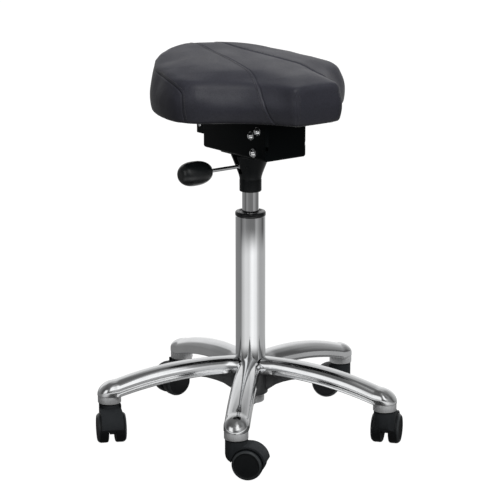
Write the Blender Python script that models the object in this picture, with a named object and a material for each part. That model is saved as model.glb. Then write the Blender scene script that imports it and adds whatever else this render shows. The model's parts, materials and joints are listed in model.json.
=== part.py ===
"""Rolling stylist stool: a five-arm base on twin-wheel casters, a gas lift that swivels and slides,
a sprung tilt mechanism with a release lever, and a padded seat with a narrow flat nose.

Run it with blender --background --python part.py, or from Blender's text editor.
Metres, +Z up. The origin is at floor level in the middle of the stool's bounding box, and the seat's nose
points to -Y. Each function draws about the column's axis, which main() then sets down at COLUMN_PLACE.
"""

import math

import bmesh
import bpy
from mathutils import Matrix, Vector

MM = 0.001
GAP = 0.3 * MM  # clearance between pieces that touch in the real object
FINE = 24  # segments of a large round piece
ROUND = 16  # segments of a small round piece
SMALL = 12  # segments of a bolt, pin or hole

# ---------------------------------------------------------------- driving dimensions
COLUMN_PLACE = Vector((0.5938 * MM, -15.9576 * MM, 0))  # column axis, from the middle of the bounding box

# Base and casters
ARM_COUNT = 5
ARM_PHASE = math.radians(-133.6)  # direction of the first arm, from +X
SOCKET_REACH = 239 * MM  # column axis to caster stem axis
SOCKET_RADIUS = 19.3 * MM
SOCKET_BOTTOM = 62.4 * MM
SOCKET_TOP = 74.6 * MM
ARM_SHOULDER = 232 * MM  # where an arm's top starts to round over its end
ARM_END_RADIUS = 19.9 * MM
HUB_RADIUS = 29 * MM
HUB_BOTTOM = 64 * MM
HUB_TOP = 131 * MM
TAPER_TOP = 123 * MM  # where the tube's tapered foot ends
WEB_THICKNESS = 5 * MM
STEM_RADIUS = 5.5 * MM
WHEEL_RADIUS = 25 * MM
WHEEL_INNER_FACE = 5.6 * MM
WHEEL_OUTER_FACE = 23.5 * MM
WHEEL_SEGMENTS = 20
CASTER_TRAIL = 21.3 * MM  # stem axis to axle
HOOD_RADIUS = 28.3 * MM
HOOD_HALF_WIDTH = 17.8 * MM
AXLE_RADIUS = 4 * MM
WELL_RADIUS = 26.2 * MM
RIB_HALF_WIDTH = 4.7 * MM
NECK_TOP = 60.5 * MM
STEM_BOTTOM = 46 * MM
# Trail direction of each caster at rest, from +X, in arm order
CASTER_HEADINGS = [math.radians(a) for a in (-50.6, 37.9, 122.0, 178.0, -118.3)]

# Gas lift
TUBE_RADIUS = 25 * MM
TUBE_WALL = 1.7 * MM
TUBE_FOOT_RADIUS = 23 * MM
TUBE_BOTTOM = 47 * MM
TUBE_TOP = 367 * MM
CAP_TOP = 374.5 * MM
CYLINDER_RADIUS = 14 * MM
CYLINDER_BOTTOM = 100 * MM
CYLINDER_TOP = 440 * MM
ROD_RADIUS = 5 * MM
PIN_RADIUS = 3 * MM
PIN_TOP = 447 * MM

# Tilt mechanism
SOCKET_CONE_BOTTOM = 408 * MM
SOCKET_CONE_TOP = 470.2 * MM
FLANGE_TOP = 474.4 * MM
HOUSING_HALF_WIDTH = 41.5 * MM
HOUSING_FRONT = -93.8 * MM
HOUSING_REAR = 72.3 * MM
HOUSING_BOTTOM = 474.7 * MM
HOUSING_TOP = 537.5 * MM
HOUSING_WALL = 2.5 * MM
CARRIER_HALF_WIDTH = 38.5 * MM
CARRIER_FRONT = -84 * MM
CARRIER_REAR = 94.5 * MM
CARRIER_TOP = 541 * MM
CARRIER_SHEET = 3 * MM
CARRIER_SKIRT = 496 * MM  # lower edge of the carrier's side flanges
PIVOT = (-60.5 * MM, 485.3 * MM)  # y and z of the tilt axis
STOP_BOLTS = ((-55.3 * MM, 512.6 * MM), (-72.0 * MM, 522.1 * MM))
TILT = math.radians(5)  # each way
BOLT_RADIUS = 4 * MM
BOLT_HEAD_RADIUS = 7 * MM
BUSH_RADIUS = 5.3 * MM

# Release lever
LEVER_HEIGHT = 451.5 * MM
FULCRUM_X = -18 * MM
KNOB_CENTRE_X = -113 * MM
KNOB_LENGTH = 59 * MM
KNOB_RADIUS = 18.7 * MM
LEVER_ROD_RADIUS = 3.2 * MM
PIVOT_PIN_RADIUS = 2 * MM

# Seat
SEAT_BOTTOM = 541.3 * MM
BOARD_THICKNESS = 10 * MM
BOARD_INSET = 15 * MM
SEAT_BOLT_RADIUS = 3 * MM
SEAT_BOLTS = ((-26 * MM, -66 * MM), (26 * MM, -66 * MM), (-26 * MM, 74 * MM), (26 * MM, 74 * MM))
# Half of the seat's outline, from the rear centre round the left side to the front centre
SEAT_OUTLINE = [
    (x * MM, y * MM)
    for x, y in (
        (0, 149), (40, 146.5), (80, 136), (113, 117), (138, 88), (156, 52), (167, 12), (168, -24),
        (152, -54), (116, -82), (85, -110), (66, -138), (52, -163), (45, -175), (22, -177.5), (0, -178),
    )
]


# ---------------------------------------------------------------- modelling helpers
def clear_scene():
    for obj in list(bpy.data.objects):
        bpy.data.objects.remove(obj, do_unlink=True)


def material(name, colour, roughness, metallic):
    made = bpy.data.materials.new(name)
    made.use_nodes = True
    shader = made.node_tree.nodes["Principled BSDF"]
    shader.inputs["Base Color"].default_value = (*colour, 1)
    shader.inputs["Roughness"].default_value = roughness
    shader.inputs["Metallic"].default_value = metallic
    made.diffuse_color = (*colour, 1)
    return made


def object_from(bm, name, finish=None, parent=None):
    """A named object from a bmesh whose points are in its parent's frame."""
    bmesh.ops.recalc_face_normals(bm, faces=bm.faces)
    mesh = bpy.data.meshes.new(name)
    bm.to_mesh(mesh)
    bm.free()
    obj = bpy.data.objects.new(name, mesh)
    bpy.context.scene.collection.objects.link(obj)
    if finish:
        mesh.materials.append(finish)
        smooth(obj)
    obj.parent = parent
    return obj


def smooth(obj):
    obj.data.shade_smooth()
    obj.data.set_sharp_from_angle(angle=math.radians(35))


def settle(obj, parent):
    """Hangs an object drawn in world coordinates on a parent that is only shifted."""
    obj.data.transform(Matrix.Translation(-parent.location))
    obj.parent = parent


def copy_of(obj, name, parent):
    """A second piece of the same shape, which shares the first one's mesh."""
    made = bpy.data.objects.new(name, obj.data)
    bpy.context.scene.collection.objects.link(made)
    made.parent = parent
    made.matrix_basis = obj.matrix_basis.copy()
    return made


def turned(profile, segments=ROUND, phase=0.0):
    """A solid turned about Z. A profile that starts and ends on the axis is closed by it; any other is a ring."""
    bm = bmesh.new()
    points = [bm.verts.new((r, 0, z)) for r, z in profile]
    pairs = list(zip(points, points[1:]))
    if profile[0][0] > 0 or profile[-1][0] > 0:
        pairs.append((points[-1], points[0]))
    edges = [bm.edges.new(pair) for pair in pairs]
    bmesh.ops.spin(
        bm, geom=points + edges, cent=(0, 0, 0), axis=(0, 0, 1), angle=math.tau, steps=segments, use_merge=True
    )
    bmesh.ops.remove_doubles(bm, verts=bm.verts, dist=1e-7)
    bmesh.ops.rotate(bm, verts=bm.verts, matrix=Matrix.Rotation(phase, 3, "Z"))
    return bm


def peg(radius, low, high, segments=SMALL):
    return turned([(0, low), (radius, low), (radius, high), (0, high)], segments)


def ring(inner, outer, low, high, segments=ROUND):
    return turned([(inner, low), (outer, low), (outer, high), (inner, high)], segments)


def prism(outline, axis, start, end):
    """An outline in the plane across the axis, pushed from start to end along it.

    The outline's two numbers are (y, z) across X, (x, z) across Y and (x, y) across Z.
    """
    place = {"X": lambda a, b, s: (s, a, b), "Y": lambda a, b, s: (a, s, b), "Z": lambda a, b, s: (a, b, s)}[axis]
    bm = bmesh.new()
    face = bm.faces.new([bm.verts.new(place(a, b, start)) for a, b in outline])
    pushed = bmesh.ops.extrude_face_region(bm, geom=[face])
    moved = [v for v in pushed["geom"] if isinstance(v, bmesh.types.BMVert)]
    bmesh.ops.translate(bm, verts=moved, vec=place(0, 0, end - start))
    return bm


def block(low, high):
    outline = [(low[0], low[1]), (high[0], low[1]), (high[0], high[1]), (low[0], high[1])]
    return prism(outline, "Z", low[2], high[2])


def skin(bm, rings):
    """Closes a row of rings of points into a solid."""
    count = len(rings[0])
    for first, second in zip(rings, rings[1:]):
        for i in range(count):
            bm.faces.new((first[i], first[(i + 1) % count], second[(i + 1) % count], second[i]))
    bm.faces.new(rings[0])
    bm.faces.new(rings[-1])


def moved(bm, location=(0, 0, 0), turn=0.0, axis="Z"):
    bmesh.ops.rotate(bm, verts=bm.verts, matrix=Matrix.Rotation(turn, 3, axis))
    bmesh.ops.translate(bm, verts=bm.verts, vec=location)
    return bm


def along_x(bm, location=(0, 0, 0)):
    """Turns a piece made about Z so that its axis is X, with its +Z end at +X."""
    return moved(bm, location, math.pi / 2, "Y")


def arc(centre, radius, start, end, steps):
    """Points on an arc, angles in degrees."""
    angles = [math.radians(start + (end - start) * i / steps) for i in range(steps + 1)]
    return [(centre[0] + radius * math.cos(a), centre[1] + radius * math.sin(a)) for a in angles]


def rounded_rectangle(half_x, low_y, high_y, radius, steps=4):
    right, left = half_x - radius, -half_x + radius
    low, high = low_y + radius, high_y - radius
    return (
        arc((right, high), radius, 0, 90, steps)
        + arc((left, high), radius, 90, 180, steps)
        + arc((left, low), radius, 180, 270, steps)
        + arc((right, low), radius, 270, 360, steps)
    )


def combine(obj, bm, operation):
    """Cuts or joins a shape, drawn in the object's own frame, and keeps the result as the object's mesh."""
    other = object_from(bm, "tool", parent=obj.parent)
    other.matrix_basis = obj.matrix_basis
    change = obj.modifiers.new("boolean", "BOOLEAN")
    change.operation = operation
    change.solver = "EXACT"
    change.object = other
    bpy.context.view_layer.update()
    result = bpy.data.meshes.new_from_object(obj.evaluated_get(bpy.context.evaluated_depsgraph_get()))
    obj.modifiers.remove(change)
    old, obj.data = obj.data, result
    result.name = old.name
    bpy.data.meshes.remove(old)
    bpy.data.objects.remove(other, do_unlink=True)


def cut(obj, bm):
    combine(obj, bm, "DIFFERENCE")


def join(obj, bm):
    combine(obj, bm, "UNION")


def empty(name, location, parent=None, turn=0.0):
    made = bpy.data.objects.new(name, None)
    bpy.context.scene.collection.objects.link(made)
    made.empty_display_size = 20 * MM
    made.location = location
    made.rotation_euler.z = turn
    made.parent = parent
    return made


def smooth_closed(points, per_span):
    """A closed Catmull-Rom curve through the points."""
    count = len(points)
    made = []
    for i in range(count):
        p0, p1, p2, p3 = (Vector(points[(i + k) % count]) for k in (-1, 0, 1, 2))
        for step in range(per_span):
            t = step / per_span
            made.append(
                0.5
                * (2 * p1 + (p2 - p0) * t + (2 * p0 - 5 * p1 + 4 * p2 - p3) * t**2 + (3 * p1 - p0 - 3 * p2 + p3) * t**3)
            )
    return made


def inset(points, distance):
    """A closed outline, listed clockwise from above, moved inwards by a distance."""
    count = len(points)
    made = []
    for i, here in enumerate(points):
        along = (points[(i + 1) % count] - points[i - 1]).normalized()
        made.append(here + Vector((along.y, -along.x)) * distance)
    return made


# ---------------------------------------------------------------- base
def arm_section(r):
    """A D-shaped ring across an arm: a half ellipse over short upright sides and a flat underside."""
    droop = max(0.0, r - 45 * MM) / (195 * MM)
    past_shoulder = max(0.0, r - ARM_SHOULDER) / (SOCKET_REACH + ARM_END_RADIUS - ARM_SHOULDER)
    top = 128 * MM - 33 * MM * min(1.0, droop) ** 2.2
    bottom = max(SOCKET_TOP, 102.7 * MM - 33 * MM * droop**2)
    half = min(20 * MM, 16.2 * MM + 0.038 * r)
    if past_shoulder > 0:
        shoulder_top = 128 * MM - 33 * MM * ((ARM_SHOULDER - 45 * MM) / (195 * MM)) ** 2.2
        top = SOCKET_TOP + 1.5 * MM + (shoulder_top - SOCKET_TOP - 1.5 * MM) * (1 - past_shoulder**2)
    if r > SOCKET_REACH:
        half = math.sqrt(ARM_END_RADIUS**2 - (r - SOCKET_REACH) ** 2)
    spring_line = bottom + 0.3 * (top - bottom)
    angles = [math.pi * i / 8 for i in range(9)]
    crown = [(r, half * math.cos(a), spring_line + (top - spring_line) * math.sin(a)) for a in angles]
    return crown + [(r, -half, bottom), (r, half, bottom)]


def arm_shape():
    """One arm along +X, from inside the hub to its rounded end over the caster socket."""
    bm = bmesh.new()
    reach = (24, 60, 100, 135, 165, 195, 222, 239, 248, 255, 258.6)
    rings = [[bm.verts.new(p) for p in arm_section(r * MM)] for r in reach]
    skin(bm, rings)
    return bm


def socket_shape():
    """The round caster socket under an arm's end."""
    profile = [(0, SOCKET_BOTTOM), (SOCKET_RADIUS - 0.6 * MM, SOCKET_BOTTOM)]
    profile += [(SOCKET_RADIUS, SOCKET_BOTTOM + 0.6 * MM), (SOCKET_RADIUS, SOCKET_TOP + 0.4 * MM)]
    profile.append((0, SOCKET_TOP + 0.4 * MM))
    return moved(turned(profile, ROUND, math.pi / ROUND), (SOCKET_REACH, 0, 0))


def web_shape():
    """The rib under an arm, which stiffens it where it leaves the hub."""
    outline = [(20 * MM, 66 * MM), (30 * MM, 70 * MM)]
    outline += [(45 * MM, 81 * MM), (60 * MM, 89 * MM), (76 * MM, 95 * MM), (95 * MM, 98 * MM)]
    outline += [(95 * MM, 106 * MM), (20 * MM, 112 * MM)]
    return prism(outline, "Y", -WEB_THICKNESS / 2, WEB_THICKNESS / 2)


def build_base(metal):
    profile = [
        (0, HUB_BOTTOM),
        (HUB_RADIUS - 2 * MM, HUB_BOTTOM),
        (HUB_RADIUS, HUB_BOTTOM + 2 * MM),
        (HUB_RADIUS, HUB_TOP - 5 * MM),
        (HUB_RADIUS - 2.4 * MM, HUB_TOP),
        (0, HUB_TOP),
    ]
    base = object_from(turned(profile, FINE), "star_base", metal)
    for k in range(ARM_COUNT):
        angle = ARM_PHASE + math.tau * k / ARM_COUNT
        for shape in (arm_shape(), web_shape(), socket_shape()):
            join(base, moved(shape, turn=angle))
        cut(base, moved(peg(STEM_RADIUS + GAP, 50 * MM, 86 * MM), socket_place(k)))
    bore = [(0, 40 * MM), (TUBE_FOOT_RADIUS + GAP, 40 * MM), (TUBE_FOOT_RADIUS + GAP, TUBE_BOTTOM)]
    bore += [(TUBE_RADIUS + GAP, TAPER_TOP), (TUBE_RADIUS + GAP, 150 * MM), (0, 150 * MM)]
    cut(base, turned(bore, FINE))
    smooth(base)


def socket_place(k):
    angle = ARM_PHASE + math.tau * k / ARM_COUNT
    return SOCKET_REACH * math.cos(angle), SOCKET_REACH * math.sin(angle), 0


# ---------------------------------------------------------------- casters
def build_hood(plastic):
    """Caster body about its stem axis: a round neck, a hood over both wheels and a rib between them. It trails +X."""
    axle = (CASTER_TRAIL, WHEEL_RADIUS)
    neck = HOOD_HALF_WIDTH
    side = [(-neck, NECK_TOP)]
    side += arc((14 * MM - neck, 42 * MM), 14 * MM, 180, 255, 4)
    side += [(4 * MM, 21 * MM), (axle[0], 19 * MM), (44 * MM, 20 * MM)]
    side += arc(axle, HOOD_RADIUS, 8, 96, 8)
    side += [(neck, NECK_TOP)]
    hood = object_from(prism(side, "Y", -30 * MM, 30 * MM), "caster_hood", plastic)
    footprint = arc((0, 0), neck, 90, 270, 10) + [(55 * MM, -neck), (55 * MM, neck)]
    combine(hood, prism(footprint, "Z", 0, 80 * MM), "INTERSECT")
    # Above the hood only the round neck is left
    beyond_neck = arc((0, 0), neck, -84, 84, 8) + [(60 * MM, neck + MM), (60 * MM, -neck - MM)]
    cut(hood, prism(beyond_neck, "Z", WHEEL_RADIUS + HOOD_RADIUS - 0.15 * MM, 80 * MM))
    for sign in (-1, 1):
        well = moved(peg(WELL_RADIUS, RIB_HALF_WIDTH, 40 * MM, 20), turn=sign * math.pi / 2, axis="X")
        cut(hood, moved(well, (CASTER_TRAIL, 0, WHEEL_RADIUS)))
    bore = moved(peg(AXLE_RADIUS + 0.05 * MM, -10 * MM, 10 * MM), turn=math.pi / 2, axis="X")
    cut(hood, moved(bore, (CASTER_TRAIL, 0, WHEEL_RADIUS)))
    cut(hood, peg(STEM_RADIUS + GAP, STEM_BOTTOM - GAP, 70 * MM))
    smooth(hood)
    return hood


def wheel_shape():
    """A wheel about Z: its hub faces z = WHEEL_INNER_FACE and its closed disc faces WHEEL_OUTER_FACE."""
    tread = WHEEL_RADIUS / math.cos(math.pi / WHEEL_SEGMENTS)  # the flats, not the corners, are at the tyre's radius
    inner, outer = WHEEL_INNER_FACE, WHEEL_OUTER_FACE
    bore = AXLE_RADIUS + GAP
    profile = [
        (0, outer - 0.9 * MM),
        (20.2 * MM, outer - 0.9 * MM),
        (21 * MM, outer),
        (tread, outer - 4.5 * MM),
        (tread, inner + 2 * MM),
        (22.5 * MM, inner),
        (bore, inner),
        (bore, outer - 4.5 * MM),
        (0, outer - 4.5 * MM),
    ]
    return turned(profile, WHEEL_SEGMENTS, math.pi / WHEEL_SEGMENTS)


def stem_shape():
    """The steel stem: a pin in the socket, a shoulder under it and a shank in the hood."""
    profile = [
        (0, STEM_BOTTOM),
        (STEM_RADIUS, STEM_BOTTOM),
        (STEM_RADIUS, NECK_TOP + GAP),
        (10 * MM, NECK_TOP + GAP),
        (10 * MM, SOCKET_BOTTOM - GAP),
        (STEM_RADIUS, SOCKET_BOTTOM - GAP),
        (STEM_RADIUS, 84 * MM),
        (STEM_RADIUS - 1.5 * MM, 85.5 * MM),
        (0, 85.5 * MM),
    ]
    return turned(profile, SMALL)


def build_casters(plastic, tyre, steel):
    first = None
    for k in range(ARM_COUNT):
        label = f"caster_{k + 1}"
        swivel = empty(f"{label}_swivel_axis", socket_place(k), turn=CASTER_HEADINGS[k])
        axle_line = empty(f"{label}_axle_axis", (CASTER_TRAIL, 0, WHEEL_RADIUS), parent=swivel)
        if first is None:
            hood = build_hood(plastic)
            stem = object_from(stem_shape(), "caster_stem", steel)
            half = WHEEL_OUTER_FACE - 5 * MM
            axle = object_from(peg(AXLE_RADIUS, -half, half), "caster_axle", steel)
            wheel = object_from(wheel_shape(), "caster_wheel", tyre)
            axle.rotation_euler.x = math.pi / 2
            wheel.rotation_euler.x = -math.pi / 2
            first = (hood, stem, axle, wheel)
        hood, stem, axle, wheel = first
        copy_of(hood, f"{label}_hood", swivel)
        copy_of(stem, f"{label}_stem", swivel)
        copy_of(axle, f"{label}_axle", axle_line)
        copy_of(wheel, f"{label}_wheel_left", axle_line)
        copy_of(wheel, f"{label}_wheel_right", axle_line).rotation_euler.x = math.pi / 2
    for pattern in first:
        bpy.data.objects.remove(pattern)


# ---------------------------------------------------------------- gas lift
def build_stand(chrome, plastic):
    """The fixed parts of the lift: tube, cap and guide bush."""
    foot_inner = TUBE_FOOT_RADIUS - TUBE_WALL
    inner = TUBE_RADIUS - TUBE_WALL
    tube = [
        (ROD_RADIUS + 1.3 * MM, TUBE_BOTTOM),
        (TUBE_FOOT_RADIUS - 1.5 * MM, TUBE_BOTTOM),
        (TUBE_FOOT_RADIUS, TUBE_BOTTOM + 1.5 * MM),
        (TUBE_RADIUS, TAPER_TOP),
        (TUBE_RADIUS, TUBE_TOP),
        (inner, TUBE_TOP),
        (inner, TAPER_TOP),
        (foot_inner, TUBE_BOTTOM + 3 * MM),
        (ROD_RADIUS + 1.3 * MM, TUBE_BOTTOM + 3 * MM),
    ]
    object_from(turned(tube, FINE), "stand_tube", chrome)
    plug = inner - GAP
    bore = CYLINDER_RADIUS + GAP
    cap = [
        (bore, 351 * MM),
        (plug, 351 * MM),
        (plug, TUBE_TOP + GAP),
        (TUBE_RADIUS, TUBE_TOP + GAP),
        (TUBE_RADIUS, CAP_TOP - 2 * MM),
        (TUBE_RADIUS - 2 * MM, CAP_TOP),
        (TUBE_RADIUS - 5 * MM, CAP_TOP - 0.6 * MM),
        (bore, CAP_TOP - 1.6 * MM),
    ]
    object_from(turned(cap, FINE), "tube_cap", plastic)
    object_from(ring(bore, plug, 252 * MM, 350.5 * MM, FINE), "guide_bush", plastic)


def build_piston_rod(steel, rubber, parent):
    """What turns in the tube's foot: the rod with its piston, thrust bearing, bump stop and clip."""
    profile = [
        (0, 40.5 * MM),
        (ROD_RADIUS - 0.7 * MM, 40.5 * MM),
        (ROD_RADIUS, 41.2 * MM),
        (ROD_RADIUS, 43 * MM),
        (ROD_RADIUS - 1 * MM, 43 * MM),
        (ROD_RADIUS - 1 * MM, 45 * MM),
        (ROD_RADIUS, 45 * MM),
        (ROD_RADIUS, 57.2 * MM),
        (9 * MM, 57.2 * MM),
        (9 * MM, 60 * MM),
        (ROD_RADIUS, 60 * MM),
        (ROD_RADIUS, 290 * MM),
        (11.8 * MM, 290 * MM),
        (11.8 * MM, 300 * MM),
        (0, 300 * MM),
    ]
    object_from(turned(profile, SMALL), "piston_rod", steel, parent)
    bore = ROD_RADIUS + GAP
    object_from(ring(bore, 12.5 * MM, 50.3 * MM, 54.3 * MM), "thrust_ball_cage", steel, parent)
    object_from(ring(bore, 13.5 * MM, 54.6 * MM, 56.9 * MM), "thrust_race", steel, parent)
    stop = [(bore, 60.3 * MM), (13 * MM, 60.3 * MM), (11 * MM, 71 * MM), (bore, 71 * MM)]
    object_from(turned(stop), "bump_stop", rubber, parent)
    clip = object_from(ring(ROD_RADIUS - 0.7 * MM, 9 * MM, 43.3 * MM, 44.7 * MM), "rod_clip", steel, parent)
    cut(clip, block((2 * MM, -2 * MM, 40 * MM), (12 * MM, 2 * MM, 50 * MM)))


def build_cylinder(chrome, steel, parent):
    """The gas cylinder, tapered at its top, and its release pin."""
    profile = [
        (ROD_RADIUS + GAP, CYLINDER_BOTTOM),
        (CYLINDER_RADIUS - 1.5 * MM, CYLINDER_BOTTOM),
        (CYLINDER_RADIUS, CYLINDER_BOTTOM + 1.5 * MM),
        (CYLINDER_RADIUS, SOCKET_CONE_BOTTOM + 1 * MM),
        (CYLINDER_RADIUS - 0.9 * MM, CYLINDER_TOP - 1 * MM),
        (CYLINDER_RADIUS - 1.9 * MM, CYLINDER_TOP),
        (PIN_RADIUS + GAP, CYLINDER_TOP),
        (PIN_RADIUS + GAP, 428 * MM),
        (12.1 * MM, 424 * MM),
        (12.1 * MM, CYLINDER_BOTTOM + 6 * MM),
        (ROD_RADIUS + GAP, CYLINDER_BOTTOM + 6 * MM),
    ]
    object_from(turned(profile, FINE), "gas_cylinder", chrome, parent)
    pin = [(0, 420 * MM), (PIN_RADIUS, 420 * MM), (PIN_RADIUS, PIN_TOP - 1.2 * MM)]
    pin += [(PIN_RADIUS - 1.2 * MM, PIN_TOP), (0, PIN_TOP)]
    object_from(turned(pin, SMALL), "release_pin", steel, parent)


# ---------------------------------------------------------------- tilt mechanism
def build_cone(plastic, steel, parent):
    """The casting that grips the gas cylinder, slotted towards -X for the lever."""
    outer = [
        (17.2 * MM, SOCKET_CONE_BOTTOM),
        (18.2 * MM, SOCKET_CONE_BOTTOM + 1 * MM),
        (18.2 * MM, 428 * MM),
        (18.9 * MM, 432 * MM),
        (22.5 * MM, 444 * MM),
        (27 * MM, 458 * MM),
        (32 * MM, SOCKET_CONE_TOP),
    ]
    inner = [
        (22 * MM, SOCKET_CONE_TOP),
        (20 * MM, 458 * MM),
        (17 * MM, 442 * MM),
        (CYLINDER_RADIUS - 0.7 * MM + GAP, 440 * MM),
        (CYLINDER_RADIUS + GAP, SOCKET_CONE_BOTTOM),
    ]
    cone = object_from(turned(outer + inner, FINE), "column_socket", plastic, parent)
    cut(cone, block((-40 * MM, -8.5 * MM, 441 * MM), (-10 * MM, 8.5 * MM, 480 * MM)))
    pin_hole = moved(peg(PIVOT_PIN_RADIUS + GAP, -30 * MM, 30 * MM), turn=math.pi / 2, axis="X")
    cut(cone, moved(pin_hole, (FULCRUM_X, 0, LEVER_HEIGHT)))
    outline = rounded_rectangle(30 * MM, -46 * MM, 46 * MM, 8 * MM)
    flange = object_from(prism(outline, "Z", SOCKET_CONE_TOP + GAP, FLANGE_TOP), "flange_plate", steel, parent)
    cut(flange, peg(14 * MM, 460 * MM, 480 * MM, ROUND))


def housing_loop(inset_by):
    """The housing's plan, moved inwards: rounded at the front corners, nearly square at the rear."""
    half, front, rear = HOUSING_HALF_WIDTH - inset_by, HOUSING_FRONT + inset_by, HOUSING_REAR - inset_by
    round_front = max(1 * MM, 5.5 * MM - inset_by)
    square = 1 * MM
    return (
        [(half, rear - square), (half - square, rear), (square - half, rear), (-half, rear - square)]
        + arc((round_front - half, front + round_front), round_front, 180, 270, 3)
        + arc((half - round_front, front + round_front), round_front, 270, 360, 3)
    )


def housing_shell():
    """An open-topped box of folded sheet, with rounded bottom edges."""
    bend = ((4.0, 0.0), (1.4, 0.9), (0.4, 2.2), (0.0, 4.2))
    floor = HOUSING_BOTTOM + HOUSING_WALL
    wall = HOUSING_WALL
    levels = [(i * MM, HOUSING_BOTTOM + h * MM) for i, h in bend]
    levels += [(0, HOUSING_TOP), (wall, HOUSING_TOP), (wall, floor + 0.8 * MM), (wall + 0.6 * MM, floor)]
    bm = bmesh.new()
    skin(bm, [[bm.verts.new((x, y, z)) for x, y in housing_loop(inset_by)] for inset_by, z in levels])
    return bm


def build_housing(steel, parent):
    housing = object_from(housing_shell(), "tilt_housing", steel, parent)
    # The side walls fall away towards the rear, and the rear wall is low, so that the seat can tilt back
    wide, above = HOUSING_HALF_WIDTH + 5 * MM, HOUSING_TOP + 5 * MM
    slope = [(-30 * MM, above), (-30 * MM, HOUSING_TOP), (80 * MM, HOUSING_TOP - 9.1 * MM), (80 * MM, above)]
    cut(housing, prism(slope, "X", -wide, wide))
    narrow = HOUSING_HALF_WIDTH - HOUSING_WALL
    cut(housing, block((-narrow, 60 * MM, 483 * MM), (narrow, 80 * MM, above)))
    # Bend reliefs at the front corners
    for side in (-1, 1):
        x, y = side * HOUSING_HALF_WIDTH, HOUSING_FRONT
        cut(housing, block((x - 4 * MM, y - MM, 492.5 * MM), (x + 4 * MM, y + 4 * MM, 500 * MM)))
    for y, z in (PIVOT, *STOP_BOLTS):
        cut(housing, along_x(peg(BOLT_RADIUS + GAP, -60 * MM, 60 * MM), (0, y, z)))
    cut(housing, peg(14 * MM, 460 * MM, 480 * MM, ROUND))


def bolt_profile(shank, length, head):
    """A dome-headed bolt along Z, with its head at the low end, seated at z = 0."""
    dome = [(0, -5.2 * MM)] + [(r * head, z * MM) for r, z in ((0.45, -4.8), (0.78, -3.5), (0.96, -1.6), (1.0, 0))]
    return dome + [(shank, 0), (shank, length), (0, length)]


def build_bolts(steel, parent):
    """The pivot bolt and two stop bolts, each with a domed cap nut on the far side."""
    reach = HOUSING_HALF_WIDTH + GAP
    bore, head = BOLT_RADIUS + 0.05 * MM, BOLT_HEAD_RADIUS
    nut = [(0, 4.6 * MM), (bore, 4.6 * MM), (bore, 0), (head, 0), (head, 2 * MM)]
    nut += [(head * 0.78, 4.4 * MM), (head * 0.45, 5.9 * MM), (0, 6.4 * MM)]
    for name, (y, z) in zip(("pivot", "stop_rear", "stop_front"), (PIVOT, *STOP_BOLTS)):
        bolt = bolt_profile(BOLT_RADIUS, 2 * reach + 4 * MM, head)
        made = object_from(along_x(turned(bolt, SMALL)), f"{name}_bolt", steel, parent)
        made.location = (-reach, y, z)
        made = object_from(along_x(turned(nut, SMALL)), f"{name}_nut", steel, parent)
        made.location = (reach, y, z)


def arc_slot(centre, start, end, half_width):
    """The outline swept by a round hole that swings about the pivot from one angle to another."""
    along = Vector(centre) - Vector(PIVOT)
    radius, bearing = along.length, math.degrees(math.atan2(along.y, along.x))
    first, last = bearing + math.degrees(start), bearing + math.degrees(end)
    tip = [PIVOT[i] + radius * f(math.radians(last)) for i, f in ((0, math.cos), (1, math.sin))]
    tail = [PIVOT[i] + radius * f(math.radians(first)) for i, f in ((0, math.cos), (1, math.sin))]
    return (
        arc(PIVOT, radius + half_width, first, last, 3)
        + arc(tip, half_width, last, last + 180, 6)[1:-1]
        + arc(PIVOT, radius - half_width, last, first, 3)
        + arc(tail, half_width, first + 180, first + 360, 6)[1:-1]
    )


def build_carrier(steel, nylon, zinc, parent):
    """The inverted channel under the seat, which turns on the pivot bolt inside the housing."""
    y, z = PIVOT
    side = [(CARRIER_FRONT, CARRIER_TOP), (CARRIER_FRONT, 508 * MM), (y - 11 * MM, 494 * MM)]
    side += arc(PIVOT, 7 * MM, 180, 360, 8)
    side += [(y + 13 * MM, CARRIER_SKIRT), (CARRIER_REAR - 3 * MM, CARRIER_SKIRT)]
    side += [(CARRIER_REAR, CARRIER_SKIRT + 3 * MM), (CARRIER_REAR, CARRIER_TOP)]
    carrier = object_from(prism(side, "X", -CARRIER_HALF_WIDTH, CARRIER_HALF_WIDTH), "seat_carrier", steel)
    inner = CARRIER_HALF_WIDTH - 2.5 * MM
    cut(carrier, block((-inner, -120 * MM, 460 * MM), (inner, 120 * MM, CARRIER_TOP - CARRIER_SHEET)))
    holes = [arc(PIVOT, BUSH_RADIUS + GAP, 0, 330, 11)]
    holes += [arc_slot(place, -TILT, TILT, BOLT_RADIUS + 0.5 * MM) for place in STOP_BOLTS]
    for outline in holes:
        cut(carrier, prism(outline, "X", -60 * MM, 60 * MM))
    for x_bolt, y_bolt in SEAT_BOLTS:
        cut(carrier, moved(peg(SEAT_BOLT_RADIUS + GAP, 530 * MM, 550 * MM, 8), (x_bolt, y_bolt, 0)))
    screw_y, screw_z = 84 * MM, 511 * MM
    cut(carrier, along_x(peg(2 * MM + GAP, -60 * MM, -30 * MM), (0, screw_y, screw_z)))
    settle(carrier, parent)
    screw = bolt_profile(2 * MM, 8 * MM, 4 * MM)
    screw = object_from(along_x(turned(screw, SMALL)), "carrier_screw", zinc, parent)
    screw.location = Vector((-CARRIER_HALF_WIDTH - GAP, screw_y, screw_z)) - parent.location
    for sign, name in ((-1, "pivot_bush_right"), (1, "pivot_bush_left")):
        bush = ring(BOLT_RADIUS + 0.1 * MM, BUSH_RADIUS, CARRIER_HALF_WIDTH - 6.5 * MM, CARRIER_HALF_WIDTH, SMALL)
        made = object_from(along_x(bush), name, nylon, parent)
        if sign == -1:
            made.rotation_euler.z = math.pi


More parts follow.
